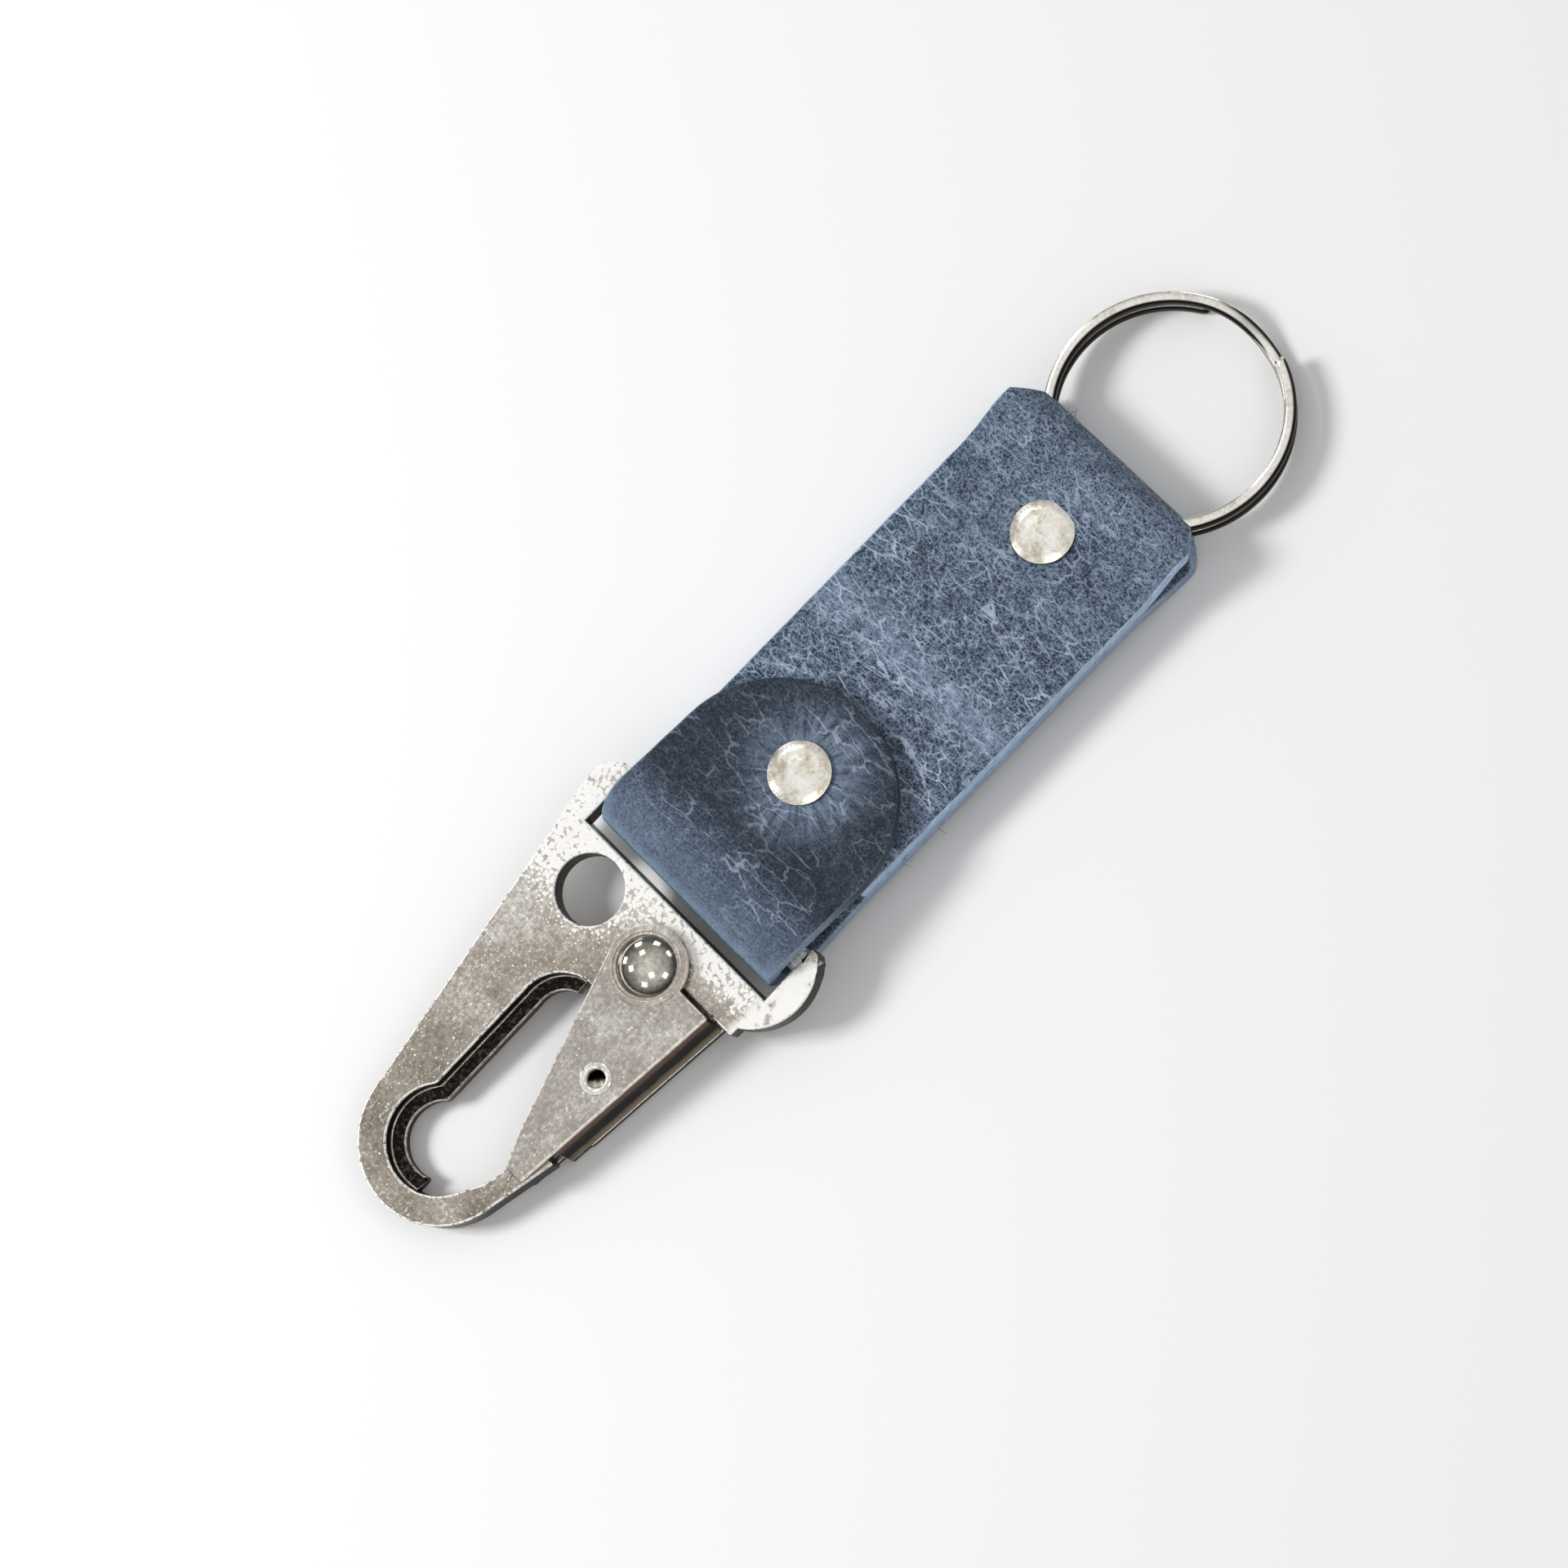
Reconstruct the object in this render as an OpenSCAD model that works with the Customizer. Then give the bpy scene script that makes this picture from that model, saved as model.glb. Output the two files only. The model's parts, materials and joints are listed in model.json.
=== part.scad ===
// Belt key clip: a plated snap hook, a folded leather strap with two cap rivets, and a split key ring.
// Millimetres, +Z up. The clip's nose points to -X, the key ring to +X, the gate lies on the -Y side.
// The object lies on the plane Z = 0, and the origin is the middle of its footprint.

/* [Strap] */
// Width of the leather strip
strap_w = 25.4; // [22:0.2:29]
// Thickness of the leather
leather_t = 1.9; // [1.7:0.05:2.1]
// Bar axis to the centre of the rivet at the clip end
clip_rivet_x = 13.1; // [12.4:0.1:14.4]
// Bar axis to the rounded end of the tab
tab_end_x = 21.8; // [20:0.1:26]
// Bar axis to the centre of the rivet at the ring end
ring_rivet_x = 46.9; // [40:0.1:47.4]
// Bar axis to the outside of the fold that holds the ring
fold_end_x = 57.6; // [57:0.1:62]
// Corner cut at the ring end, along the strap
corner_cut_x = 2.4; // [1.5:0.1:3]
// Corner cut at the ring end, across the strap
corner_cut_y = 2.5; // [1.5:0.1:3.2]
// Gap left between two layers of the folded strip
layer_gap = 0.12; // [0.08:0.01:0.2]

/* [Hook body] */
// Nose tip to the axis of the end bar
hook_len = 46.8; // [44:0.2:50]
// Thickness of the cast plate, and the diameter of its end bar
hook_t = 3; // [2.8:0.1:3.2]
// Outer radius of the nose
nose_r = 8.8; // [8.4:0.1:9.4]
// Height of the nose centre above the strap's centre line
nose_y = 1.3; // [0.8:0.1:1.8]
// Wall between the nose tip and the mouth
nose_wall = 3; // [2.6:0.1:3.4]
// Radius of the mouth's main lobe
mouth_r = 5.6; // [5.2:0.1:5.8]
// Radius of the mouth's lower lobe
throat_r = 5; // [4.6:0.1:5.2]
// Lower lobe centre past the main lobe centre, along the hook
throat_dx = 2.2; // [1.8:0.1:2.6]
// Lower lobe centre below the main lobe centre
throat_dy = 1.9; // [1.6:0.1:2.2]
// Height of the mouth's straight upper edge
mouth_top_y = 5.5; // [5:0.1:6]
// Nose tip to the closed end of the mouth
mouth_len = 30.4; // [29:0.1:30.8]
// Corner radius at the closed end of the mouth
mouth_corner_r = 4.8; // [4.2:0.1:5.2]
// Width of the ledge inside the mouth
ledge_w = 1.6; // [1:0.1:1.8]
// Thickness of the ledge
ledge_t = 1.2; // [0.8:0.1:1.4]
// Nose tip to the end of the lower nose arm
arm_end_x = 15.2; // [14.4:0.1:15.6]
// Fall of the lower nose arm, in degrees
arm_fall = 12; // [8:0.5:14]
// Height of the lower nose arm at its end
arm_h = 2.8; // [2.4:0.1:3]
// Pivot axis to bar axis
pivot_dx = 11; // [10.6:0.1:11.4]
// Pivot axis below the centre line
pivot_dy = 2.3; // [1.9:0.1:2.7]
// Radius of the pivot lobe
lobe_r = 4.1; // [3.9:0.05:4.2]
// Round lanyard hole's radius
lanyard_r = 3.65; // [3:0.05:4]
// Lanyard hole axis to bar axis
lanyard_dx = 9.8; // [9.4:0.1:10.4]
// Lanyard hole axis above the centre line
lanyard_dy = 7.8; // [7.4:0.1:8.2]
// Bar axis to the plate's edge across the strap slot
slot_reach = 5.2; // [5:0.1:5.6]
// Side gap between the strap and each ear
slot_side_gap = 0.4; // [0.3:0.05:0.8]
// Wall of the ears outside the strap, and the upper ear's corner radius
ear_wall = 3.1; // [2.6:0.1:3.6]
// Reach of the ears past the bar axis
ear_end = 1.7; // [1.5:0.1:2]
// Corner radius of the lower ear
lower_ear_r = 6.7; // [6:0.1:7.2]
// Pivot axis to the stop edge of the lower ear
stop_edge_dx = 0.9; // [0.8:0.05:1.2]

/* [Gate] */
// Wall of the pressed gate channel
gate_wall = 1; // [0.8:0.05:1.2]
// Gap between a cheek and the plate
cheek_gap = 0.15; // [0.1:0.01:0.25]
// Radius of the gate's round end
gate_eye_r = 4.25; // [4.1:0.05:4.6]
// Pivot axis to the gate's tip
gate_reach = 24.1; // [23.6:0.1:24.6]
// Upper corner of the tip below the pivot axis
gate_tip_drop = 3.7; // [3.4:0.1:4]
// Height of the tip
gate_tip_h = 2.15; // [1.9:0.05:2.4]
// Pivot axis to the bend in the gate's upper edge
gate_bend_dx = 20.7; // [20:0.1:21.4]
// Bend in the upper edge below the pivot axis
gate_bend_drop = 2.2; // [2:0.1:2.5]
// Lower edge of the heel below the pivot axis
gate_heel_drop = 8.2; // [7.8:0.1:8.5]
// Pivot axis to the end of the web that joins the cheeks
web_reach = 19.5; // [19:0.1:19.8]
// Reach of the back cheek below the front one, which slants the web
web_slant = 1; // [0.4:0.1:1.2]
// Gap between the closed gate's heel and its stop
heel_gap = 0.3; // [0.2:0.05:0.4]

/* [Gate pivot, spring and pin] */
// Radius of the pivot shank
shank_r = 1.25; // [1.1:0.05:1.35]
// Running clearance on the shank, on the radius
pivot_clear = 0.05; // [0.03:0.01:0.08]
// Radius of the domed head
dome_r = 3.15; // [2.9:0.05:3.3]
// Height of the domed head
dome_h = 1.6; // [1.3:0.05:1.8]
// Radius of the flat tail
tail_r = 2.3; // [2:0.05:2.6]
// Height of the flat tail
tail_h = 0.6; // [0.5:0.05:0.7]
// Spring wire diameter
spring_wire = 0.4; // [0.35:0.01:0.42]
// Mean radius of the spring's turns
spring_r = 1.9; // [1.85:0.01:1.95]
// Free gap between the spring's turns
spring_gap = 0.43; // [0.42:0.01:0.44]
// Radius of the spring's pocket in the plate
pocket_r = 2.4; // [2.35:0.05:2.6]
// Length of the spring's short leg
short_leg = 4.2; // [3.6:0.1:4.4]
// Pin radius
pin_r = 1.5; // [1.3:0.05:1.6]
// Bore radius of the semi-tubular pin end
pin_bore_r = 0.95; // [0.7:0.05:1]
// Pin axis to pivot axis, along the gate
pin_dx = 11.4; // [10.6:0.1:12.4]
// Pin axis below the pivot axis
pin_dy = 4.2; // [4:0.1:4.6]
// Height of the pin's rim over the cheeks
pin_rim = 0.1; // [0.05:0.01:0.2]

/* [Cap rivets] */
// Radius of the rivet caps
cap_r = 3.3; // [3:0.05:3.5]
// Height of the domed front caps
cap_h = 1; // [0.8:0.05:1.2]
// Height of the flat back caps
back_cap_h = 0.8; // [0.6:0.05:1]
// Straight rim of a cap
cap_rim = 0.35; // [0.25:0.05:0.45]
// Outer radius of the cap's tube
tube_r = 1.5; // [1.4:0.05:1.6]
// Radius of the post inside the tube
post_r = 1.1; // [1:0.05:1.2]

/* [Split ring] */
// Reach of the ring past each side of the strap, whose width it matches
ring_reach = 0; // [-0.2:0.05:0.3]
// Radial width of the flat wire
wire_w = 1.35; // [1.2:0.05:1.4]
// Height of the flat wire
wire_h = 1.3; // [1.2:0.05:1.35]
// Gap between the two turns
turn_gap = 0.45; // [0.42:0.01:0.48]
// Bar axis to the ring's centre
ring_x = 64.3; // [64.1:0.1:64.5]
// Direction of the upper turn's end, in degrees
wire_end_angle = -16; // [-30:1:0]
// Arc over which the wire crosses from one turn to the other, in degrees
crossing_arc = 40; // [36:1:46]

/* [Motion] */
// Opening angle of the gate, in degrees
gate_open = 30; // [20:1:32]
// Swing of the ring above the strap's plane, in degrees
ring_up = 25; // [15:1:26]
// Swing of the ring below the strap's plane, in degrees
ring_down = 10; // [6:1:11]

/* [Hidden] */
$fn = 96;
overrun = 0.5;
fit_gap = 0.02;
// A straight edge that leaves a round end lies this far inside its tangent
tuck = 0.02;
// Clearances in the leather, round the bar, the wire and the caps
bar_clear = 0.7;
wire_clear = 0.25;
cap_clear = 0.1;
// Extra room that the swinging wire takes along the strap
swing_room = 0.45;
// Least leather left over the ring's pocket
thin_leather = 0.85;
// Whole turns that fit under the bearing wall, and the spring's distance from the pin and the pocket
spring_turns = 2;
spring_clear = 0.15;
leg_room = 0.5;
// Wall of the plate that bears the shank over the spring's pocket
bearing_t = 0.7;
// How far the ledge is let into the plate, and its height over the plate's back
ledge_root = 0.6;
ledge_floor = 0.2;
// Run of the back cheek's drop past the arm, for each unit of its depth
web_drop_run = 2.5;

// Leather: heights from the bar axis
bar_r = hook_t / 2;
loop_in = bar_r + bar_clear;
loop_out = loop_in + leather_t;
ring_half_h = wire_h + turn_gap / 2;
fold_in = ring_half_h + wire_clear;
fold_out = fold_in + leather_t;
fold_x = fold_end_x - fold_out;
fold_z = -leather_t / 2;
half_w = strap_w / 2;
ring_r = half_w + ring_reach;
tab_top = 1.5 * leather_t;
front_top = leather_t / 2;
flat_from = clip_rivet_x - cap_r - 2 * cap_clear;
front_end_x = flat_from - leather_t / 2;
pocket_x = ring_x - ring_r - wire_clear - swing_room;
ramp_from = ring_rivet_x + tube_r + cap_clear;

// The hook, from the bar axis
nose_x = -hook_len + nose_r;
mouth_x = -hook_len + nose_wall + mouth_r;
corner_x = -hook_len + mouth_len - mouth_corner_r;
arm_x = -hook_len + arm_end_x;
pivot_x = -pivot_dx;
pivot_y = -pivot_dy;
stop_x = pivot_x + stop_edge_dx;
slot_half = half_w + slot_side_gap;
ear_half = slot_half + ear_wall;
cheek_in = hook_t / 2 + cheek_gap;
cheek_out = cheek_in + gate_wall;
low_tip = [pivot_x - gate_reach, pivot_y - gate_tip_drop - gate_tip_h];
low_heel = [stop_x - heel_gap, pivot_y - gate_heel_drop];
web_lean = (low_heel[1] - low_tip[1]) / (low_heel[0] - low_tip[0]);
web_start = low_tip + (gate_reach - web_reach) * [1, web_lean];
pin_x = pivot_x - pin_dx;
pin_y = pivot_y - pin_dy;

// The rest pose: the bar axis stands over the plane so that the fold's underside touches it
bar_z = fold_out - fold_z;
gate_far = gate_reach + pivot_dx;
clip_drop = asin(bar_z / norm([gate_far, cheek_out])) - atan(cheek_out / gate_far);
ring_far = ring_x - fold_x + ring_r;
ring_drop = asin((bar_z + fold_z) / norm([ring_far, ring_half_h])) - atan(ring_half_h / ring_far);
low_x = -hook_len * cos(clip_drop) - hook_t / 2 * sin(clip_drop);
high_x = fold_x + ring_far * cos(ring_drop) + ring_half_h * sin(ring_drop);
shift_x = -(low_x + high_x) / 2;

// Joint axes and mounts, for the record
function clip_point(p) = [shift_x + p[0] * cos(clip_drop) - p[2] * sin(clip_drop), p[1],
    bar_z + p[0] * sin(clip_drop) + p[2] * cos(clip_drop)];
function ring_point(p) = [shift_x + fold_x + p[0] * cos(ring_drop) + p[2] * sin(ring_drop), p[1],
    bar_z + fold_z - p[0] * sin(ring_drop) + p[2] * cos(ring_drop)];
echo(bar_axis = [shift_x, 0, bar_z], fold_axis = [shift_x + fold_x, 0, bar_z + fold_z]);
echo(clip_drop = clip_drop, ring_drop = ring_drop, plate_normal = [-sin(clip_drop), 0, cos(clip_drop)]);
echo(pivot = clip_point([pivot_x, pivot_y, 0]), lanyard = clip_point([-lanyard_dx, lanyard_dy, 0]));
echo(mouth = clip_point([mouth_x, nose_y, 0]), ring_centre = ring_point([ring_x - fold_x, 0, 0]));
echo(ring_normal = [sin(ring_drop), 0, cos(ring_drop)], low_x = low_x + shift_x);

module on_clip() {
    translate([shift_x, 0, bar_z]) rotate([0, -clip_drop, 0]) children();
}

module on_strap() {
    translate([shift_x, 0, bar_z]) children();
}

module on_ring() {
    translate([shift_x + fold_x, 0, bar_z + fold_z]) rotate([0, ring_drop, 0]) children();
}

// The outline round two discs: the discs and the four points where their common tangents touch
module belt(a, ra, b, rb) {
    run = b - a;
    lean = atan2(run[1], run[0]);
    open = acos((ra - rb) / norm(run));
    translate(a) circle(ra);
    translate(b) circle(rb);
    polygon([a + ra * [cos(lean + open), sin(lean + open)], a + ra * [cos(lean - open), sin(lean - open)],
        b + rb * [cos(lean - open), sin(lean - open)], b + rb * [cos(lean + open), sin(lean + open)]]);
}

// A disc's tangent point as seen from p, on the left (side = 1) or right (side = -1) of the line to the disc
function touch(p, c, r, side) = c + r * (let (d = c - p, lean = atan2(d[1], d[0]),
    open = acos(r / norm(d))) [cos(lean + 180 - side * open), sin(lean + 180 - side * open)]);

// One closed tube: rings of points joined in order, with a fan over each end
module swept(rings) {
    sides = len(rings[0]);
    count = len(rings);
    walls = [for (i = [0:count - 2], k = [0:sides - 1]) let (m = (k + 1) % sides)
        each [[i * sides + k, i * sides + m, (i + 1) * sides + m],
            [i * sides + k, (i + 1) * sides + m, (i + 1) * sides + k]]];
    ends = [for (k = [1:sides - 2]) each [[0, k + 1, k],
        [(count - 1) * sides, (count - 1) * sides + k, (count - 1) * sides + k + 1]]];
    polyhedron([for (ring = rings) each ring], concat(walls, ends));
}

// The plate's outer outline
module hook_outline() {
    nose = [nose_x, nose_y];
    upper_ear = [ear_end - ear_wall, slot_half];
    lower_ear = [stop_x + lower_ear_r, lower_ear_r - ear_half];
    arm_root = nose + (nose_r - tuck) * [-sin(arm_fall), -cos(arm_fall)];
    arm_low = arm_root + (arm_x - arm_root[0]) * [1, -tan(arm_fall)];
    run = upper_ear - nose;
    top_lean = atan2(run[1], run[0]) + acos((nose_r - ear_wall) / norm(run));
    top = [cos(top_lean), sin(top_lean)];
    difference() {
        union() {
            translate(nose) circle(nose_r);
            translate(upper_ear) circle(ear_wall);
            polygon([nose, nose + (nose_r - tuck) * top, upper_ear + (ear_wall - tuck) * top, upper_ear,
                [corner_x, mouth_top_y]]);
            polygon([nose, arm_root, arm_low, arm_low + [0, arm_h]]);
            translate([corner_x, pivot_y + gate_wall]) square([-corner_x, slot_half - pivot_y - gate_wall]);
            translate([stop_x, -slot_half]) square([ear_end - stop_x, 2 * slot_half]);
            translate([pivot_x, pivot_y]) circle(lobe_r);
            intersection() {
                translate(lower_ear) circle(lower_ear_r);
                translate([stop_x - overrun, -ear_half]) square([ear_end - stop_x + overrun, ear_half]);
            }
        }
        translate([-slot_reach, -slot_half]) square([slot_reach + ear_end + overrun, 2 * slot_half]);
    }
}

// The mouth: two lobes at the nose, a straight upper edge, a round end and the throat that the gate closes
module mouth_outline() {
    mouth = [mouth_x, nose_y];
    throat = mouth + [throat_dx, -throat_dy];
    arm_top = nose_y - nose_r - (arm_x - nose_x) * tan(arm_fall) + arm_h;
    corner = [corner_x, mouth_top_y - mouth_corner_r];
    belt(mouth, mouth_r, throat, throat_r);
    difference() {
        union() {
            translate(corner) circle(mouth_corner_r);
            polygon([[mouth_x, mouth_top_y], [corner_x, mouth_top_y], [corner_x, -ear_half],
                [arm_x, -ear_half], [arm_x, arm_top], throat - [0, throat_r], mouth]);
        }
        translate([pivot_x, pivot_y]) circle(lobe_r);
    }
}

// The ledge's outline: round the nose, along the upper edge and round the closed end, let into the plate
module ledge_outline() {
    mouth = [mouth_x, nose_y];
    corner = [corner_x, mouth_top_y - mouth_corner_r];
    low_left = [mouth_x - mouth_r, nose_y - ledge_w];
    low_right = [corner_x + mouth_corner_r, corner[1] + mouth_corner_r / 5];
    difference() {
        union() {
            translate(mouth) circle(mouth_r + ledge_root);
            translate(corner) circle(mouth_corner_r + ledge_root);
            polygon([mouth, [mouth_x, mouth_top_y + ledge_root - tuck],
                [corner_x, mouth_top_y + ledge_root - tuck], corner]);
        }
        translate(mouth) circle(mouth_r - ledge_w);
        translate(corner) circle(mouth_corner_r - ledge_w);
        polygon([[mouth_x, mouth_top_y - ledge_w - tuck], [corner_x, mouth_top_y - ledge_w - tuck],
            low_right - [ledge_w, 0], low_right + [2 * ledge_w, 0], [low_right[0] + 2 * ledge_w, -ear_half],
            [low_left[0] - ledge_w, -ear_half], low_left - [ledge_w, 0], low_left + [ledge_w, 0]]);
    }
}

module hook_body() {
    leg_angle = atan2(-pin_dy, -pin_dx);
    way_a = [cos(leg_angle), sin(leg_angle)];
    way_b = [cos(leg_angle - gate_open), sin(leg_angle - gate_open)];
    way_mid = [cos(leg_angle - gate_open / 2), sin(leg_angle - gate_open / 2)];
    side_a = [-way_a[1], way_a[0]];
    side_b = [way_b[1], -way_b[0]];
    leg_way = lobe_r + overrun;
    pocket_depth = hook_t - bearing_t + overrun;
    color([0.66, 0.63, 0.59]) on_clip() {
        difference() {
            translate([0, 0, -hook_t / 2]) linear_extrude(hook_t) difference() {
                hook_outline();
                mouth_outline();
                translate([-lanyard_dx, lanyard_dy]) circle(lanyard_r);
                translate([pivot_x, pivot_y]) circle(shank_r + fit_gap);
            }
            // Pocket for the spring, open where the long leg swings and where the short leg lies
            translate([pivot_x, pivot_y, -hook_t / 2 - overrun]) {
                cylinder(r = pocket_r, h = pocket_depth);
                linear_extrude(pocket_depth) polygon([pocket_r * side_a, pocket_r * side_a + leg_way * way_a,
                    norm([leg_way, pocket_r]) * way_mid, pocket_r * side_b + leg_way * way_b,
                    pocket_r * side_b]);
                translate([0, spring_r - spring_wire - leg_room / 2, 0])
                    cube([short_leg + leg_room, 2 * spring_wire + leg_room, pocket_depth]);
            }
        }
        translate([0, 0, ledge_floor - hook_t / 2]) linear_extrude(ledge_t) ledge_outline();
        // End bar, let into both ears
        translate([0, slot_half + ear_wall / 2, 0]) rotate([90, 0, 0])
            cylinder(r = bar_r, h = 2 * slot_half + ear_wall);
    }
}

// Side outline of a gate cheek; the lower edge runs straight from the tip to the heel, or drops past the arm
module gate_outline(drop) {
    tip = [pivot_x - gate_reach, pivot_y - gate_tip_drop];
    bend = [pivot_x - gate_bend_dx, pivot_y - gate_bend_drop];
    eye = [pivot_x, pivot_y];
    heel = low_heel - [0, drop];
    translate(eye) circle(gate_eye_r);
    polygon([low_tip, tip, bend, touch(bend, eye, gate_eye_r, 1), eye,
        [heel[0], pivot_y - gate_eye_r * cos(asin((heel[0] - pivot_x) / gate_eye_r))], heel,
        web_start + drop * [web_drop_run, web_lean * web_drop_run - 1], web_start]);
}

module gate_cheek(drop) {
    linear_extrude(gate_wall) difference() {
        gate_outline(drop);
        translate([pivot_x, pivot_y]) circle(shank_r + pivot_clear);
        translate([pin_x, pin_y]) circle(pin_r);
    }
}

module gate() {
    web_len = norm(low_heel - web_start) - 2 * gate_wall * abs(web_lean);
    root = (cheek_in + cheek_out) / 2;
    color([0.68, 0.66, 0.63]) on_clip() {
        translate([0, 0, cheek_in]) gate_cheek(0);
        translate([0, 0, -cheek_out]) gate_cheek(web_slant);
        translate(web_start) rotate([0, 0, atan(web_lean)]) rotate([90, 0, 90]) linear_extrude(web_len)
            polygon([[tuck, root], [gate_wall, root], [gate_wall - web_slant, -root],
                [tuck - web_slant, -root]]);
    }
}

// A dome of the given base radius and height
module dome(r, h) {
    ball = (r * r + h * h) / (2 * h);
    intersection() {
        translate([0, 0, h - ball]) sphere(ball);
        cylinder(r = r + overrun, h = h + overrun);
    }
}

module gate_pivot_rivet() {
    color([0.82, 0.8, 0.76]) on_clip() translate([pivot_x, pivot_y, 0]) {
        translate([0, 0, cheek_out + fit_gap]) dome(dome_r, dome_h);
        translate([0, 0, -cheek_out - fit_gap - tail_h])
            cylinder(r = shank_r, h = 2 * (cheek_out + fit_gap) + tail_h + dome_h / 4);
        translate([0, 0, -cheek_out - fit_gap - tail_h]) cylinder(r = tail_r, h = tail_h);
    }
}

// The spring's centre line: a straight leg to the pin's inner side, the turns, and a short straight leg
spring_low = -hook_t / 2 + spring_wire / 2 + spring_clear / 2;
spring_pitch = spring_wire + spring_gap;
pin_side = pin_r + spring_wire / 2 + spring_clear;
pin_span = norm([pin_dx, pin_dy]);
leg_lean = atan2(-pin_dy, -pin_dx) - asin((spring_r - pin_side) / pin_span);
leg_start_angle = leg_lean - 90 + 360;
turn_span = leg_start_angle - 90 + 360 * spring_turns;
spring_rise = spring_pitch * turn_span / 360;
leg_len = pin_span + pin_r;
function spring_at(a, z) = [spring_r * cos(a), spring_r * sin(a), z];
spring_steps = 12 * spring_turns + 8;
spring_path = concat(
    [for (i = [0:3]) spring_at(leg_start_angle, spring_low)
        + (1 - i / 4) * leg_len * [cos(leg_lean), sin(leg_lean), 0]],
    [for (i = [0:spring_steps]) let (part = i / spring_steps)
        spring_at(leg_start_angle - part * turn_span, spring_low + part * spring_rise)],
    [for (i = [1:2]) spring_at(90, spring_low + spring_rise) + [short_leg * i / 2, 0, 0]]);

// Rings of eight points square to a path
function unit(v) = v / norm(v);
function along(path, i) = unit(path[min(i + 1, len(path) - 1)] - path[max(i - 1, 0)]);
function tube_rings(path, r, sides) = [for (i = [0:len(path) - 1])
    let (t = along(path, i), u = unit(cross(t, [0, 0, 1])), v = cross(u, t))
    [for (k = [0:sides - 1]) path[i] + r * (cos(360 * k / sides) * u + sin(360 * k / sides) * v)]];

// Least distance between centre-line points that lie more than half a turn apart, less the wire
function least_gap(path, wire, apart) = min([for (i = [0:len(path) - 1 - apart],
    j = [i + apart:len(path) - 1]) norm(path[i] - path[j])]) - wire;
half_turn_steps = 10;
echo(spring_gap_to_itself = least_gap(spring_path, spring_wire, half_turn_steps));

module gate_spring() {
    color([0.55, 0.55, 0.57]) on_clip() translate([pivot_x, pivot_y, 0])
        swept(tube_rings(spring_path, spring_wire / 2, 8));
}

module spring_pin() {
    pin_half = cheek_out + pin_rim;
    color([0.75, 0.73, 0.7]) on_clip() translate([pin_x, pin_y, 0]) difference() {
        translate([0, 0, -pin_half]) cylinder(r = pin_r, h = 2 * pin_half);
        translate([0, 0, pin_half - gate_wall]) cylinder(r = pin_bore_r, h = gate_wall + overrun);
    }
}

// A side view, X along the strap and Y up from the bar axis, made solid across the strap
module across(extra) {
    translate([0, half_w + extra, 0]) rotate([90, 0, 0]) linear_extrude(strap_w + 2 * extra) children();
}

bar = [0, 0];
fold = [fold_x, fold_z];

// The strip's outer form: a loop round the bar, a fold round the ring and the layers between them
module strap_block() {
    swing_x = pocket_x - fold_x;
    top_over = fold_z + ring_half_h + wire_clear - swing_x * sin(ring_down) + thin_leather;
    low_over = fold_z - ring_half_h - wire_clear + swing_x * sin(ring_up) - thin_leather;
    low = fold_z - fold_out;
    flat_top = [flat_from, tab_top];
    flat_low = [flat_from, -tab_top];
    ramp_top = [pocket_x, top_over];
    across(0) circle(loop_out);
    across(0) translate(fold) circle(fold_out);
    across(0) polygon([touch(flat_top, bar, loop_out, -1), flat_top, [tab_end_x, tab_top],
        [tab_end_x, front_top], [ramp_from, front_top], ramp_top, touch(ramp_top, fold, fold_out, 1),
        [fold_x, low], [pocket_x, max(low, low_over)], [ramp_from - leather_t, -tab_top], flat_low,
        touch(flat_low, bar, loop_out, 1)]);
}

// Inside the strip: room for the bar and the wedge in front of the front layer's hidden end, the gaps
// between the layers, and the channel of the fold
module strap_hollow() {
    end_top = [front_end_x, front_top];
    end_low = [front_end_x, -front_top];
    across(overrun) circle(loop_in);
    across(overrun) polygon([touch(end_top, bar, loop_in, -1), end_top, end_low,
        touch(end_low, bar, loop_in, 1)]);
    across(overrun) translate([front_end_x - overrun, front_top - layer_gap])
        square([tab_end_x - front_end_x + 2 * overrun, layer_gap]);
    across(overrun) translate([front_end_x - overrun, -front_top - layer_gap / 2])
        square([fold_x - front_end_x + overrun, layer_gap]);
    across(overrun) translate(fold) circle(fold_in);
}

// Room for the ring's wire inside the fold, over its whole swing
module wire_pocket() {
    reach_l = fold_x - pocket_x;
    reach_r = fold_out + overrun;
    h = ring_half_h + wire_clear;
    intersection() {
        translate([fold_x, strap_w, fold_z]) rotate([90, 0, 0]) linear_extrude(2 * strap_w)
            polygon([[-reach_l - overrun, h + reach_l * sin(ring_down)], [0, h],
                [reach_r, h + reach_r * sin(ring_up)], [reach_r, -h - reach_r * sin(ring_down)], [0, -h],
                [-reach_l - overrun, -h - reach_l * sin(ring_up)]]);
        translate([ring_x, 0, fold_z - strap_w / 2]) difference() {
            cylinder(r = ring_r + wire_clear + swing_room, h = strap_w);
            translate([0, 0, -overrun])
                cylinder(r = ring_r - wire_w - wire_clear - swing_room, h = strap_w + 2 * overrun);
        }
    }
}

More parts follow.
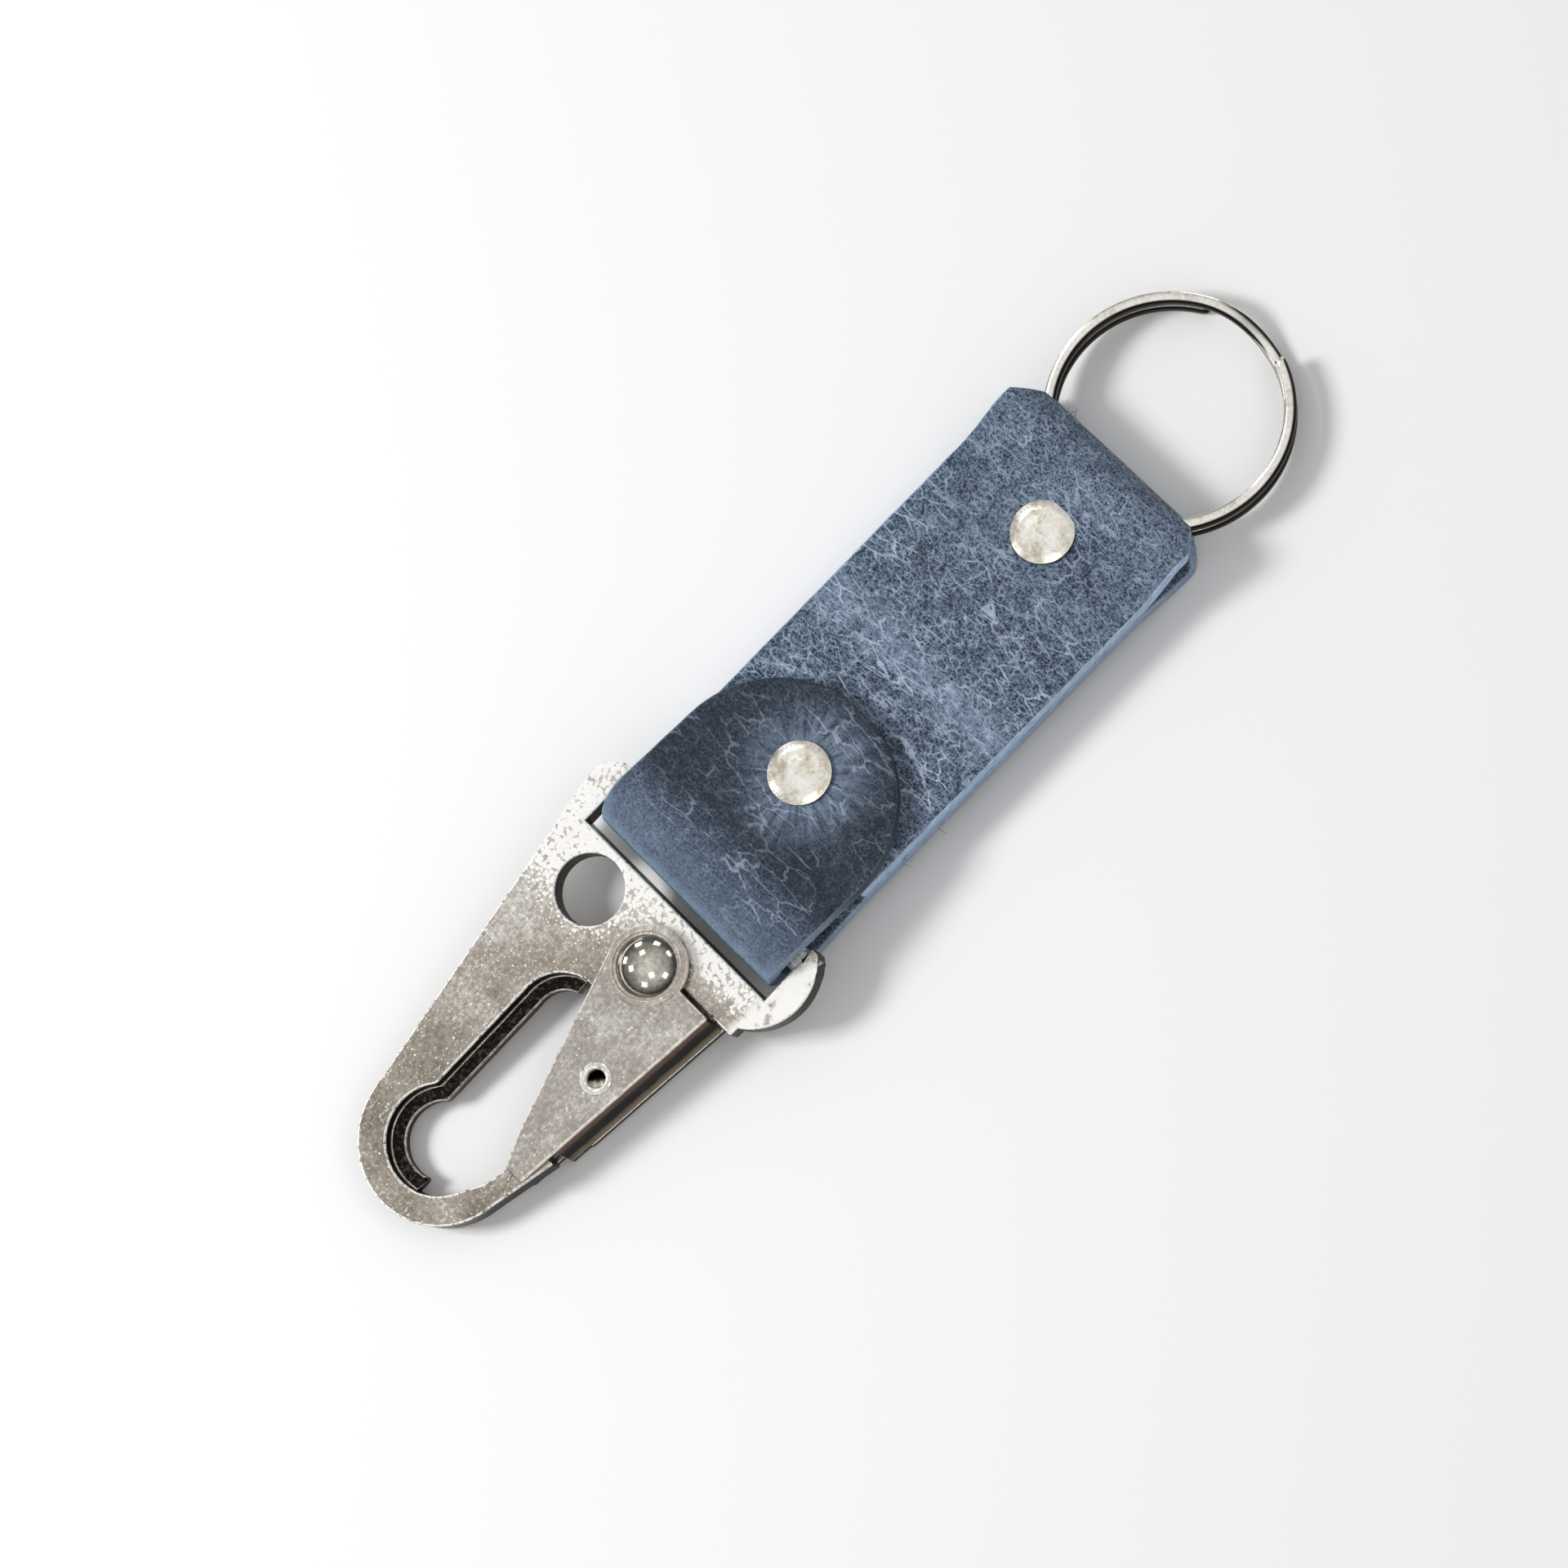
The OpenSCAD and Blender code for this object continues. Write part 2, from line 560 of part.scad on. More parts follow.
module strap() {
    over = 2 * loop_out;
    color([0.44, 0.5, 0.59]) on_strap() difference() {
        strap_block();
        strap_hollow();
        wire_pocket();
        // Rounded end of the tab
        translate([0, 0, front_top - layer_gap / 2]) linear_extrude(over) difference() {
            translate([tab_end_x - half_w, -strap_w]) square([half_w + overrun, 2 * strap_w]);
            translate([tab_end_x - half_w, 0]) circle(half_w);
        }
        // Cut corners at the ring end
        translate([0, 0, -over]) linear_extrude(2 * over) for (side = [-1, 1])
            polygon([[fold_end_x - corner_cut_x, side * (half_w + overrun)],
                [fold_end_x - corner_cut_x, side * half_w], [fold_end_x, side * (half_w - corner_cut_y)],
                [fold_end_x + overrun, side * (half_w - corner_cut_y)],
                [fold_end_x + overrun, side * (half_w + overrun)]]);
        // Rivet holes, and the leather pressed flat under the caps at the ring end
        for (x = [clip_rivet_x, ring_rivet_x]) translate([x, 0, -over])
            cylinder(r = tube_r + fit_gap, h = 2 * over);
        translate([ring_rivet_x, 0, front_top]) cylinder(r = cap_r + cap_clear, h = over);
        translate([ring_rivet_x, 0, -tab_top - over]) cylinder(r = cap_r + cap_clear, h = over);
    }
}

// A cap: a straight rim under a low dome, with its flat side at z = 0
module cap_shape(h) {
    rise = h - cap_rim;
    ball = (cap_r * cap_r + rise * rise) / (2 * rise);
    intersection() {
        cylinder(r = cap_r, h = h + overrun);
        translate([0, 0, h - ball]) sphere(ball);
    }
}

// Front cap and its tube, which goes down through the leather
module rivet_cap(x, top, depth) {
    color([0.87, 0.85, 0.79]) on_strap() translate([x, 0, top]) {
        cap_shape(cap_h);
        translate([0, 0, -depth]) difference() {
            cylinder(r = tube_r, h = depth + cap_rim);
            translate([0, 0, -overrun]) cylinder(r = post_r + fit_gap, h = depth + overrun);
        }
    }
}

// Back cap and its post, which goes up inside the tube
module rivet_post(x, height) {
    color([0.83, 0.81, 0.76]) on_strap() translate([x, 0, -tab_top]) {
        mirror([0, 0, 1]) cap_shape(back_cap_h);
        cylinder(r = post_r, h = height - fit_gap);
    }
}

module clip_rivet_cap() {
    rivet_cap(clip_rivet_x, tab_top, 2 * tab_top - fit_gap);
}

module clip_rivet_post() {
    rivet_post(clip_rivet_x, 2 * tab_top);
}

module ring_rivet_cap() {
    rivet_cap(ring_rivet_x, front_top, front_top + tab_top - fit_gap);
}

module ring_rivet_post() {
    rivet_post(ring_rivet_x, front_top + tab_top);
}

// The wire runs once round below, crosses over its arc, and runs once round above
end_arc = 2;
lap_arc = 360 - crossing_arc - end_arc;
ring_steps = 96;
ring_span = 2 * lap_arc + crossing_arc;
first_angle = wire_end_angle + crossing_arc + end_arc / 2;
ring_mid_r = ring_r - wire_w / 2;
ring_lift = wire_h + turn_gap;
function ease(s) = s <= 0 ? 0 : s >= 1 ? 1 : s * s * (3 - 2 * s);
function ring_rise(a) = ring_lift * (ease((a - lap_arc) / crossing_arc) - 0.5);
ring_path = [for (i = [0:ring_steps]) let (a = ring_span * i / ring_steps)
    [ring_mid_r * cos(first_angle + a), ring_mid_r * sin(first_angle + a), ring_rise(a)]];
ring_turn = round(ring_steps * lap_arc / ring_span);
echo(ring_gap_to_itself = least_gap(ring_path, wire_h, ring_turn));

// Flat wire with broken corners, eight points a ring
bevel_share = 0.2;
wire_outline = let (w = wire_w / 2, h = wire_h / 2, c = bevel_share * wire_h)
    [[w, c - h], [w, h - c], [w - c, h], [c - w, h], [-w, h - c], [-w, c - h], [c - w, -h], [w - c, -h]];
ring_rings = [for (i = [0:ring_steps]) let (a = first_angle + ring_span * i / ring_steps)
    [for (q = wire_outline) let (r = ring_mid_r + q[0]) [r * cos(a), r * sin(a), ring_path[i][2] + q[1]]]];

module split_ring() {
    color([0.84, 0.83, 0.78]) on_ring() translate([ring_x - fold_x, 0, 0]) swept(ring_rings);
}

strap();
hook_body();
gate();
gate_pivot_rivet();
gate_spring();
spring_pin();
clip_rivet_cap();
clip_rivet_post();
ring_rivet_cap();
ring_rivet_post();
split_ring();
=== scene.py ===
import json
import math
import random

import bmesh
import bpy
from mathutils import Matrix, Vector


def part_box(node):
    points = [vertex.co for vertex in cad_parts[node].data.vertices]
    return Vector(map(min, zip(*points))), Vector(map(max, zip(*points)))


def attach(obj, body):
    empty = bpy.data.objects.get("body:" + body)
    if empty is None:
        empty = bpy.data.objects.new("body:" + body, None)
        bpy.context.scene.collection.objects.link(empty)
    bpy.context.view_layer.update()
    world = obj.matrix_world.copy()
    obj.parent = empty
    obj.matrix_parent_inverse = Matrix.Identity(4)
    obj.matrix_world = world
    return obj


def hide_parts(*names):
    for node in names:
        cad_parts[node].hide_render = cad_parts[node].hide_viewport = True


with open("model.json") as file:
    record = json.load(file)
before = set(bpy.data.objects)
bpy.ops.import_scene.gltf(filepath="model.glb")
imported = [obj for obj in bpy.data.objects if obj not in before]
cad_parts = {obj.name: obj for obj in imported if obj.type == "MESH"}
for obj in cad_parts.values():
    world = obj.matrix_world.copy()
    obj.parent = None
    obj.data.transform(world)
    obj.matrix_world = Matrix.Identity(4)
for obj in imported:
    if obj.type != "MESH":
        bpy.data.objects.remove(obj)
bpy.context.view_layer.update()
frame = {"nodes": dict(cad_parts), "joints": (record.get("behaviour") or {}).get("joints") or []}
print("frame loaded:", len(frame["nodes"]), "nodes")

# Sizes in the dictionaries are in millimetres, and Blender's are in metres
mm = 0.001
# Points that are nearer to each other than this are one point
onePoint = 0.002 * mm


# A length of the frame in millimetres, with the figures that it was drawn with
def drawn(length):
    return round(length / mm, 4)


# The strap's own zero is the axis of the clip's end bar, and the clip lies tilted about it
joints = {joint["name"]: joint for joint in frame["joints"]}
barAt = joints["clip_swing"]["pos_m"]
foldAt = joints["ring_swing"]["pos_m"]
gateAxis = joints["gate_pivot"]["axis"]
barPlace = Vector([drawn(v) for v in barAt]) * mm
clipDrop = math.radians(round(math.degrees(math.atan2(gateAxis[0], -gateAxis[2])), 4))
onStrap = Matrix.Translation(barPlace)
onClip = onStrap @ Matrix.Rotation(-clipDrop, 4, "Y")
alongClip = onClip.to_3x3() @ Vector((1, 0, 0))


# How far along the strap a node's middle is, from the bar's axis
def alongStrap(node):
    low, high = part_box(node)
    return drawn((low[0] + high[0]) / 2 - barAt[0])


# Camera, as the photograph was taken
cameraSetup = dict(place=(3.543, -125.578, 436.526), turn=(10.9436, 12.2794, -44.3565),
                   lens=104.07, sensor=36, nearest=10)

cameraData = bpy.data.cameras.new("camera")
cameraData.lens = cameraSetup["lens"]
cameraData.sensor_width = cameraSetup["sensor"]
cameraData.clip_start = cameraSetup["nearest"] * mm
camera = bpy.data.objects.new("camera", cameraData)
camera.location = Vector(cameraSetup["place"]) * mm
camera.rotation_euler = [math.radians(v) for v in cameraSetup["turn"]]
bpy.context.scene.collection.objects.link(camera)
bpy.context.scene.camera = camera
bpy.context.scene.view_settings.view_transform = "Standard"
print("camera placed")


# Shader maths: a link wraps one output socket, and the operators on it add Math nodes
class Link:
    def __init__(self, recipe, socket):
        self.recipe = recipe
        self.socket = socket

    def maths(self, operation, *others):
        return self.recipe.add("Math", dict(operation=operation), [self, *others])

    def __add__(self, other):
        return self.maths("ADD", other)

    def __radd__(self, other):
        return self.maths("ADD", other)

    def __sub__(self, other):
        return self.maths("SUBTRACT", other)

    def __rsub__(self, other):
        return self.recipe.add("Math", dict(operation="SUBTRACT"), [other, self])

    def __mul__(self, other):
        return self.maths("MULTIPLY", other)

    def __truediv__(self, other):
        return self.maths("DIVIDE", other)

    def most(self, other):
        return self.maths("MAXIMUM", other)

    def size(self):
        return self.maths("ABSOLUTE")


# One material and its nodes
class Recipe:
    def __init__(self, name):
        self.material = bpy.data.materials.new(name)
        self.material.use_nodes = True
        self.tree = self.material.node_tree
        self.tree.nodes.clear()
        self.shader = self.tree.nodes.new("ShaderNodeBsdfPrincipled")
        output = self.tree.nodes.new("ShaderNodeOutputMaterial")
        self.tree.links.new(self.shader.outputs["BSDF"], output.inputs["Surface"])
        self.place = self.add("TexCoord", {}, [], out="Object")
        self.facing = self.add("TexCoord", {}, [], out="Normal")

    def add(self, kind, settings, values, out=0):
        node = self.tree.nodes.new("ShaderNode" + kind)
        for key, value in settings.items():
            if key == "stops":
                self.setStops(node.color_ramp, value)
            else:
                setattr(node, key, value)
        pairs = values.items() if isinstance(values, dict) else enumerate(values)
        for key, value in pairs:
            if isinstance(value, Link):
                self.tree.links.new(value.socket, node.inputs[key])
            else:
                node.inputs[key].default_value = value
        return Link(self, node.outputs[out])

    def setStops(self, ramp, stops):
        while len(ramp.elements) < len(stops):
            ramp.elements.new(0.5)
        for element, (position, colour) in zip(ramp.elements, stops):
            element.position = position
            element.color = (*colour, 1.0)

    # Object coordinates in millimetres from the given zero, stretched by the given factors
    def grid(self, zero=(0, 0, 0), stretch=(1, 1, 1)):
        scale = [s / mm for s in stretch]
        shift = [-z * s for z, s in zip(zero, stretch)]
        values = {"Vector": self.place, "Location": shift, "Scale": scale}
        return self.add("Mapping", {}, values, out="Vector")

    def parts(self, vector):
        node = self.add("SeparateXYZ", {}, [vector]).socket.node
        return [Link(self, node.outputs[axis]) for axis in "XYZ"]

    # How far (x, y) is from zero
    def away(self, x, y):
        vector = self.add("CombineXYZ", {}, [x, y, 0.0])
        return self.add("VectorMath", dict(operation="LENGTH"), [vector], out="Value")

    def noise(self, vector, scale, detail=4, rough=0.55, twist=0.0):
        return self.add("TexNoise", {}, {"Vector": vector, "Scale": scale, "Detail": detail,
                                         "Roughness": rough, "Distortion": twist}, out="Fac")

    def cells(self, vector, scale, feature="DISTANCE_TO_EDGE"):
        values = {"Vector": vector, "Scale": scale}
        return self.add("TexVoronoi", dict(feature=feature), values, out="Distance")

    # 0 below low and 1 above high, with a soft step between; low may be the larger
    def step(self, value, low, high):
        settings = dict(interpolation_type="SMOOTHSTEP")
        ends = {"From Min": min(low, high), "From Max": max(low, high)}
        rise = self.add("MapRange", settings, {"Value": value, **ends})
        return rise if low <= high else 1 - rise

    def blend(self, factor, first, second):
        first, second = [(*c, 1.0) if isinstance(c, tuple) else c for c in (first, second)]
        settings = dict(data_type="RGBA", clamp_factor=True)
        return self.add("Mix", settings, {0: factor, 6: first, 7: second}, out=2)

    # The vector pushed about by noise, so that lines drawn on it wander
    def wander(self, vector, scale, amount):
        push = self.add("TexNoise", {}, {"Vector": vector, "Scale": scale, "Detail": 3}, out="Color")
        centred = self.add("VectorMath", dict(operation="SUBTRACT"), [push, (0.5, 0.5, 0.5)])
        scaled = self.add("VectorMath", dict(operation="SCALE"), {0: centred, "Scale": amount})
        return self.add("VectorMath", dict(operation="ADD"), [vector, scaled])

    def bump(self, height, distance, strength):
        return self.add("Bump", {}, {"Height": height, "Distance": distance * mm, "Strength": strength},
                        out="Normal")

    def finish(self, **sockets):
        for name, value in sockets.items():
            socket = self.shader.inputs[name.replace("_", " ")]
            if isinstance(value, Link):
                self.tree.links.new(value.socket, socket)
            else:
                socket.default_value = (*value, 1.0) if isinstance(value, tuple) else value
        return self.material


def srgb(*levels):
    return tuple((v / 255 / 12.92) if v <= 10 else ((v / 255 + 0.055) / 1.055) ** 2.4 for v in levels)


# Slate-blue oiled leather: dark where oil soaked in, pale where it was pulled, creased or rubbed. Its oil
# colour also paints shadow on the tab's round cut end, and the cut edge is painted lighter at its top as
# painted light. A net of pale cracks is its cells' stretch, the scale and amount of each wandering, the
# cells' scale and the line's edges.
leatherLook = dict(
    longNet=((1, 0.34, 1), ((0.4, 1.7), (2.0, 0.5)), 0.62, (0.05, 0.008)),
    midNet=((1, 0.5, 1), ((0.8, 1.4), (3.0, 0.4)), 1.15, (0.075, 0.01)),
    fineNet=((1, 0.8, 1), ((2.8, 0.5),), 2.1, (0.14, 0.01)),
    dark=srgb(28, 35, 45), mid=srgb(72, 85, 102), pale=srgb(124, 141, 163), vein=srgb(186, 202, 222),
    edge=srgb(190, 212, 240), oilAndShade=srgb(25, 27, 32), roughness=0.68, reflection=0.16, relief=0.12,
    cloudy=0.45, patchy=0.45, grainy=3.6, tabGrain=1.6, level=0.395, pores=0.55, fineTone=0.38, tabFine=0.16,
    bandTone=0.32, haloTone=0.88, calmTone=0.06, bendTone=0.37, veins=0.78, midVeins=0.55, bandVeins=0.8,
    rivetX=alongStrap("clip_rivet_cap"), tabFrom=21.4, bandX=28.5, bandWidth=3.6, calmX=36, halfWidth=12.3)


# The pale rays round the clip's rivet
def leatherHalo(r, look, x, y, tab):
    fromRivet = x - look["rivetX"]
    away = r.away(fromRivet, y)
    turn = r.add("Math", dict(operation="ARCTAN2"), [y, fromRivet])
    rays = r.noise(r.add("CombineXYZ", {}, [turn * 4.0, away * 0.16, 0.0]), 1.7, detail=5, rough=0.7)
    side = r.step(x * 0.5 - y, -4.0, 9.0)
    return tab * r.step(away, 9.5, 3.0) * (r.step(rays, 0.38, 0.6) * 0.7 + 0.3) * (side * 0.75 + 0.25)


# Cut edges: bare fibre, streaked along the strap. The strap's edge is painted lighter along its upper corner
# and darker below, as painted light and shade, and the tab's round end gets painted shadow. Gives the colour
# with the edges in it, where they are, and their streaks.
def leatherEdges(r, look, colour, x, y, z, tab):
    _, faceY, faceZ = r.parts(r.facing)
    fibre = r.noise(r.grid(stretch=(0.3, 1, 2.5)), 2.6, detail=5, rough=0.7)
    cut = r.step(faceY.size(), 0.3, 0.62).most(tab * r.step(faceZ.size(), 0.8, 0.4))
    rubbed = r.step(faceZ.size(), 0.985, 0.85) * r.step(y.size(), look["halfWidth"] - 1.7, look["halfWidth"])
    colour = r.blend(rubbed * 0.4, colour, look["pale"])
    # Painted light and shade: the cut edge is lighter at its top and darker towards its bottom
    upper = r.step(z, -2.2, 0.7) * 0.6 + 0.4
    colour = r.blend(cut * r.step(fibre, 0.25, 0.6) * upper * (1 - tab * 0.7), colour, look["edge"])
    # Painted shadow: the tab's round cut end is darkened with the oil colour
    return r.blend(cut * tab * r.step(x, 3.0, 9.0) * 0.75, colour, look["oilAndShade"]), cut, fibre


def leatherMaterial():
    look = leatherLook
    r = Recipe("blueLeather")
    zero = [v / mm for v in barPlace]
    flat = r.grid(zero=zero)
    x, y, z = r.parts(flat)
    tab = r.step(z, 1.0, 1.7) * r.step(x, look["tabFrom"] + 0.9, look["tabFrom"])

    cloud = r.noise(flat, 0.16, detail=3)
    patch = r.noise(flat, 0.55, detail=5, rough=0.65)
    grain = r.noise(flat, 3.8, detail=4, rough=0.9)

    def net(stretch, wanderings, scale, edges):
        vector = r.grid(zero, stretch)
        for wanderScale, amount in wanderings:
            vector = r.wander(vector, wanderScale, amount)
        return r.step(r.cells(vector, scale), *edges)

    # Long and middling cracks that run across the strap, and fine ones all over; each net shows in patches
    where = r.noise(r.grid(zero=(3, 9, 0)), 0.2, detail=4, rough=0.6)
    crackLine = net(*look["longNet"]) * r.step(where, 0.44, 0.56)
    midLine = net(*look["midNet"]) * r.step(patch, 0.38, 0.56)
    fineLine = net(*look["fineNet"]) * r.step(grain, 0.3, 0.5)

    tone = (cloud - 0.5) * look["cloudy"] + (patch - 0.5) * look["patchy"]
    tone = tone + (grain - 0.5) * (look["grainy"] - tab * look["tabGrain"]) + look["level"]
    tone = tone + fineLine * (look["fineTone"] - tab * look["tabFine"])
    # The pulled band across the middle, the dull oily tab, and the pale bend at the clip
    band = r.step((x - look["bandX"] + (patch - 0.5) * 8).size(), look["bandWidth"], 0.0)
    wrinkles = r.noise(r.wander(r.grid(zero, (1, 0.16, 1)), 1.2, 0.5), 1.5, detail=3, rough=0.6)
    wrinkle = r.step((wrinkles - 0.5).size(), 0.022, 0.004) * band * r.step(patch, 0.4, 0.55)
    bend = r.step(x + (patch - 0.5) * 6, 4.2, -3.2)
    halo = leatherHalo(r, look, x, y, tab)
    calm = r.step(x, look["calmX"], look["calmX"] + 8)
    tone = tone + band * look["bandTone"] + halo * look["haloTone"] + calm * look["calmTone"]
    tone = tone * (1 - bend * 0.5) + bend * look["bendTone"]
    stops = [(0.08, look["dark"]), (0.48, look["mid"]), (0.92, look["pale"])]
    colour = r.add("ValToRGB", dict(stops=stops), [tone], out="Color")
    oil = tab * (1 - bend) * (1 - halo * 0.75) * r.step(x + (cloud - 0.5) * 8, 0.0, 6.0)
    colour = r.blend(oil * (0.66 + (cloud - 0.5) * 0.6), colour, look["oilAndShade"])
    veins = (crackLine * look["veins"]).most(midLine * (look["midVeins"] - tab * 0.25))
    veins = veins.most(wrinkle * look["bandVeins"])
    veins = veins * (1 - oil * 0.72) * (1 - bend * 0.85) * (1 - calm * 0.4)
    colour = r.blend(veins, colour, look["vein"])

    # Dark pores, in patches
    pores = r.step(r.cells(r.wander(flat, 2.0, 0.5), 1.7, "F1"), 0.22, 0.08) * r.step(cloud, 0.42, 0.56)
    colour = r.blend(pores * look["pores"], colour, look["dark"])

    colour, cut, fibre = leatherEdges(r, look, colour, x, y, z, tab)
    height = (grain - 0.5) * 0.8 + (patch - 0.5) * 0.5 - crackLine * 0.35 - midLine * 0.25 - pores * 0.4
    height = height + cut * (fibre - 0.5) * 0.8
    rough = look["roughness"] + (patch - 0.5) * 0.35 - tab * 0.06
    return r.finish(Base_Color=colour, Roughness=rough, Normal=r.bump(height, look["relief"], 0.8),
                    Specular_IOR_Level=look["reflection"])


# Painted highlights on a casting: painted glints in grains round the lanyard hole, on the upper ear and
# beside the slot, and a smooth painted highlight on the lower ear. Gives the painted brightness and the
# glinting grains in it.
def castSparkle(r, look, x, y, wide, spread):
    spotX, spotY, reach = look["sparkleAt"]
    away = r.away(x - spotX, (y - spotY) * 0.8)
    near = r.step(away + (spread - 0.5) * 6, reach, reach * 0.3)
    near = near.most(r.step(x + (spread - 0.5) * 3, look["slotSide"], look["slotSide"] + 2.2) * 0.85)
    ear = r.step(y, look["lowEar"], look["lowEar"] - 1.6)
    near = near * (1 - ear)
    blobs = r.cells(r.wander(r.grid(), 3.0, 0.35), 2.3, "F1")
    glintGrains = r.step(blobs + (1 - near) * 0.62, 0.84, 0.68)
    bright = (glintGrains * 0.9).most(near * 0.3)
    return bright.most(ear * r.step(wide + (spread - 0.5) * 0.6, 0.4, 0.52) * 0.9), glintGrains


# Painted shade: where a piece's walls, deep faces, faces turned towards -Y and the gate's tip are painted
# dark, and in which colour: in bands of painted reflection, shade and highlight along the height of a wall,
# or else one shade colour
def paintedWallShade(r, look, x, z, facing, fine, cross):
    faceX, faceY, faceZ = facing
    # Painted shade on walls
    paintedShade = r.step(faceZ.size(), look["wallFrom"] + 0.3, look["wallFrom"])
    streak = r.noise(r.grid(stretch=(0.5, 0.5, 2)), 1.6, detail=4)
    share = z / look.get("wallHeight", 1.0) + 0.5 + (streak - 0.5) * 0.12 + (cross - 0.5) * 0.1
    layers = look["layers"] if "layers" in look else [(0, look["paintedShade"]), (1, look["paintedShade"])]
    shadeAndReflection = r.add("ValToRGB", dict(stops=layers), [share], out="Color")
    if "shadedDeep" in look:
        # Painted shade on faces that lie deep between others: the ledge in the mouth, the bore of the pin
        deep, faceFrom = look["shadedDeep"]
        low = r.step(z, deep, deep - 0.4) * r.step(faceZ, faceFrom - 0.1, faceFrom)
        paintedShade = paintedShade.most(low)
        if "speck" in look:
            specks = r.step(fine, 0.5, 0.62) * (low * 0.8 + 0.2) * look["speck"]
            shadeAndReflection = r.blend(low * 0.55, shadeAndReflection, look["deepShade"])
            shadeAndReflection = r.blend(specks, shadeAndReflection, look["dark"])
    # Painted shade on faces turned towards -Y
    if "nearSide" in look:
        paintedShade = paintedShade.most(r.step(faceZ, 0.99, look["nearSide"]) * r.step(faceY, 0.02, -0.12))
    # Painted shadow: a dark line on the bevel at the gate's tip
    if "tip" in look:
        tip = r.step(faceX, -0.1, -0.35) * r.step(x, look["tip"] + 1.0, look["tip"])
        paintedShade = paintedShade.most(tip)
        shadeAndReflection = r.blend(tip, shadeAndReflection, look["paintedShade"])
    return paintedShade, shadeAndReflection


# Worn nickel on a casting or a pressing: flat faces have faint warm blotches, rubbed lines, scratches and
# pits, the pits painted bright as glints; walls are painted dark as shade, and rounded rims that face up get
# a painted highlight
def nickelMaterial(name, look):
    r = Recipe(name)
    flat = r.grid()

    # The parts of a place or a direction once the piece's flat face is turned level
    def level(vector):
        return r.parts(r.add("VectorRotate", dict(rotation_type="Y_AXIS"),
                             {"Vector": vector, "Center": (0, 0, 0), "Angle": look["tilt"]}))

    x, y, z = level(r.grid(zero=[v / mm for v in barPlace]))
    facing = level(r.facing)
    faceZ = facing[2]
    wide = r.noise(flat, look["blotch"], detail=4, rough=0.55, twist=0.4)
    fine = r.noise(flat, 2.2, detail=5, rough=0.75)
    rub = r.noise(r.grid(stretch=(0.12, 1.4, 1)), 3.2, detail=4)
    cross = r.noise(r.grid(stretch=(1.3, 0.12, 1)), 3.0, detail=4)
    tone = (wide - 0.5) * look["mottle"] + (fine - 0.5) * 1.5 + (rub - 0.5) * 0.2 + (cross - 0.5) * 0.2 + 0.5
    if "dull" in look:
        dullTo, fadeLength, amount = look["dull"]
        tone = tone - r.step(x, dullTo + fadeLength, dullTo) * amount
    stops = [(0.1, look["dark"]), (0.5, look["light"]), (0.95, look["bright"])]
    colour = r.add("ValToRGB", dict(stops=stops), [tone], out="Color")
    spread = r.noise(flat, 0.9, detail=3)
    pits = r.step(r.cells(flat, 1.7, "F1"), 0.26, 0.12) * r.step(spread, 0.5, 0.62)
    # Short scratches, each a thin bright line on cells drawn out along it
    scratch = r.step(r.cells(r.wander(r.grid(stretch=(0.2, 1.5, 1)), 0.6, 1.2), 1.3), 0.035, 0.0)
    scratched = r.noise(r.grid(stretch=(0.6, 1, 1), zero=(7, 3, 0)), 1.1, detail=3)
    scratch = scratch * r.step(scratched, 0.55, 0.63)
    pits = pits.most(scratch * 0.7)
    # Painted glints: the pits are painted bright as highlights; the bright scratches are wear
    glintsAndScratches = pits * look["pits"]
    # Painted glints and highlights of the casting
    if "sparkleAt" in look:
        bright, glintGrains = castSparkle(r, look, x, y, wide, spread)
        glintsAndScratches = glintsAndScratches.most(bright)
        pits = (pits * 0.5).most(glintGrains * 0.7)
    colour = r.blend(glintsAndScratches, colour, look["bright"])
    glintsAndScratches = glintsAndScratches * r.step(faceZ, 0.8, 0.95)
    # Painted shade on walls and deep faces, with the gate wall's painted reflections
    paintedShade, shadeAndReflection = paintedWallShade(r, look, x, z, facing, fine, cross)
    colour = r.blend(paintedShade, colour, shadeAndReflection)
    # Painted highlight on rounded rims that face up, dimmed on deep faces as painted shade
    rim = r.step(faceZ, look["wallFrom"] + 0.05, look["wallFrom"] + 0.27) * r.step(faceZ, 0.985, 0.93)
    rim = rim * r.step(fine, 0.38, 0.5) * look["rim"] * (1 - paintedShade)
    if "shadedDeep" in look:
        rim = rim * (r.step(z, look["shadedDeep"][0], look["shadedDeep"][0] + 0.5) * 0.7 + 0.3)
    colour = r.blend(rim, colour, look["bright"])
    rough = look["roughness"] + (wide - 0.5) * 0.16 + (rub - 0.5) * 0.14 + paintedShade * 0.15
    height = (fine - 0.5) * 0.6 + (rub - 0.5) * 0.12 + (cross - 0.5) * 0.12 - pits * look["pits"]
    return r.finish(Base_Color=colour, Metallic=1 - (rim * 0.85).most(glintsAndScratches * 0.8), Roughness=rough,
                    Normal=r.bump(height, 0.05, look["relief"]))
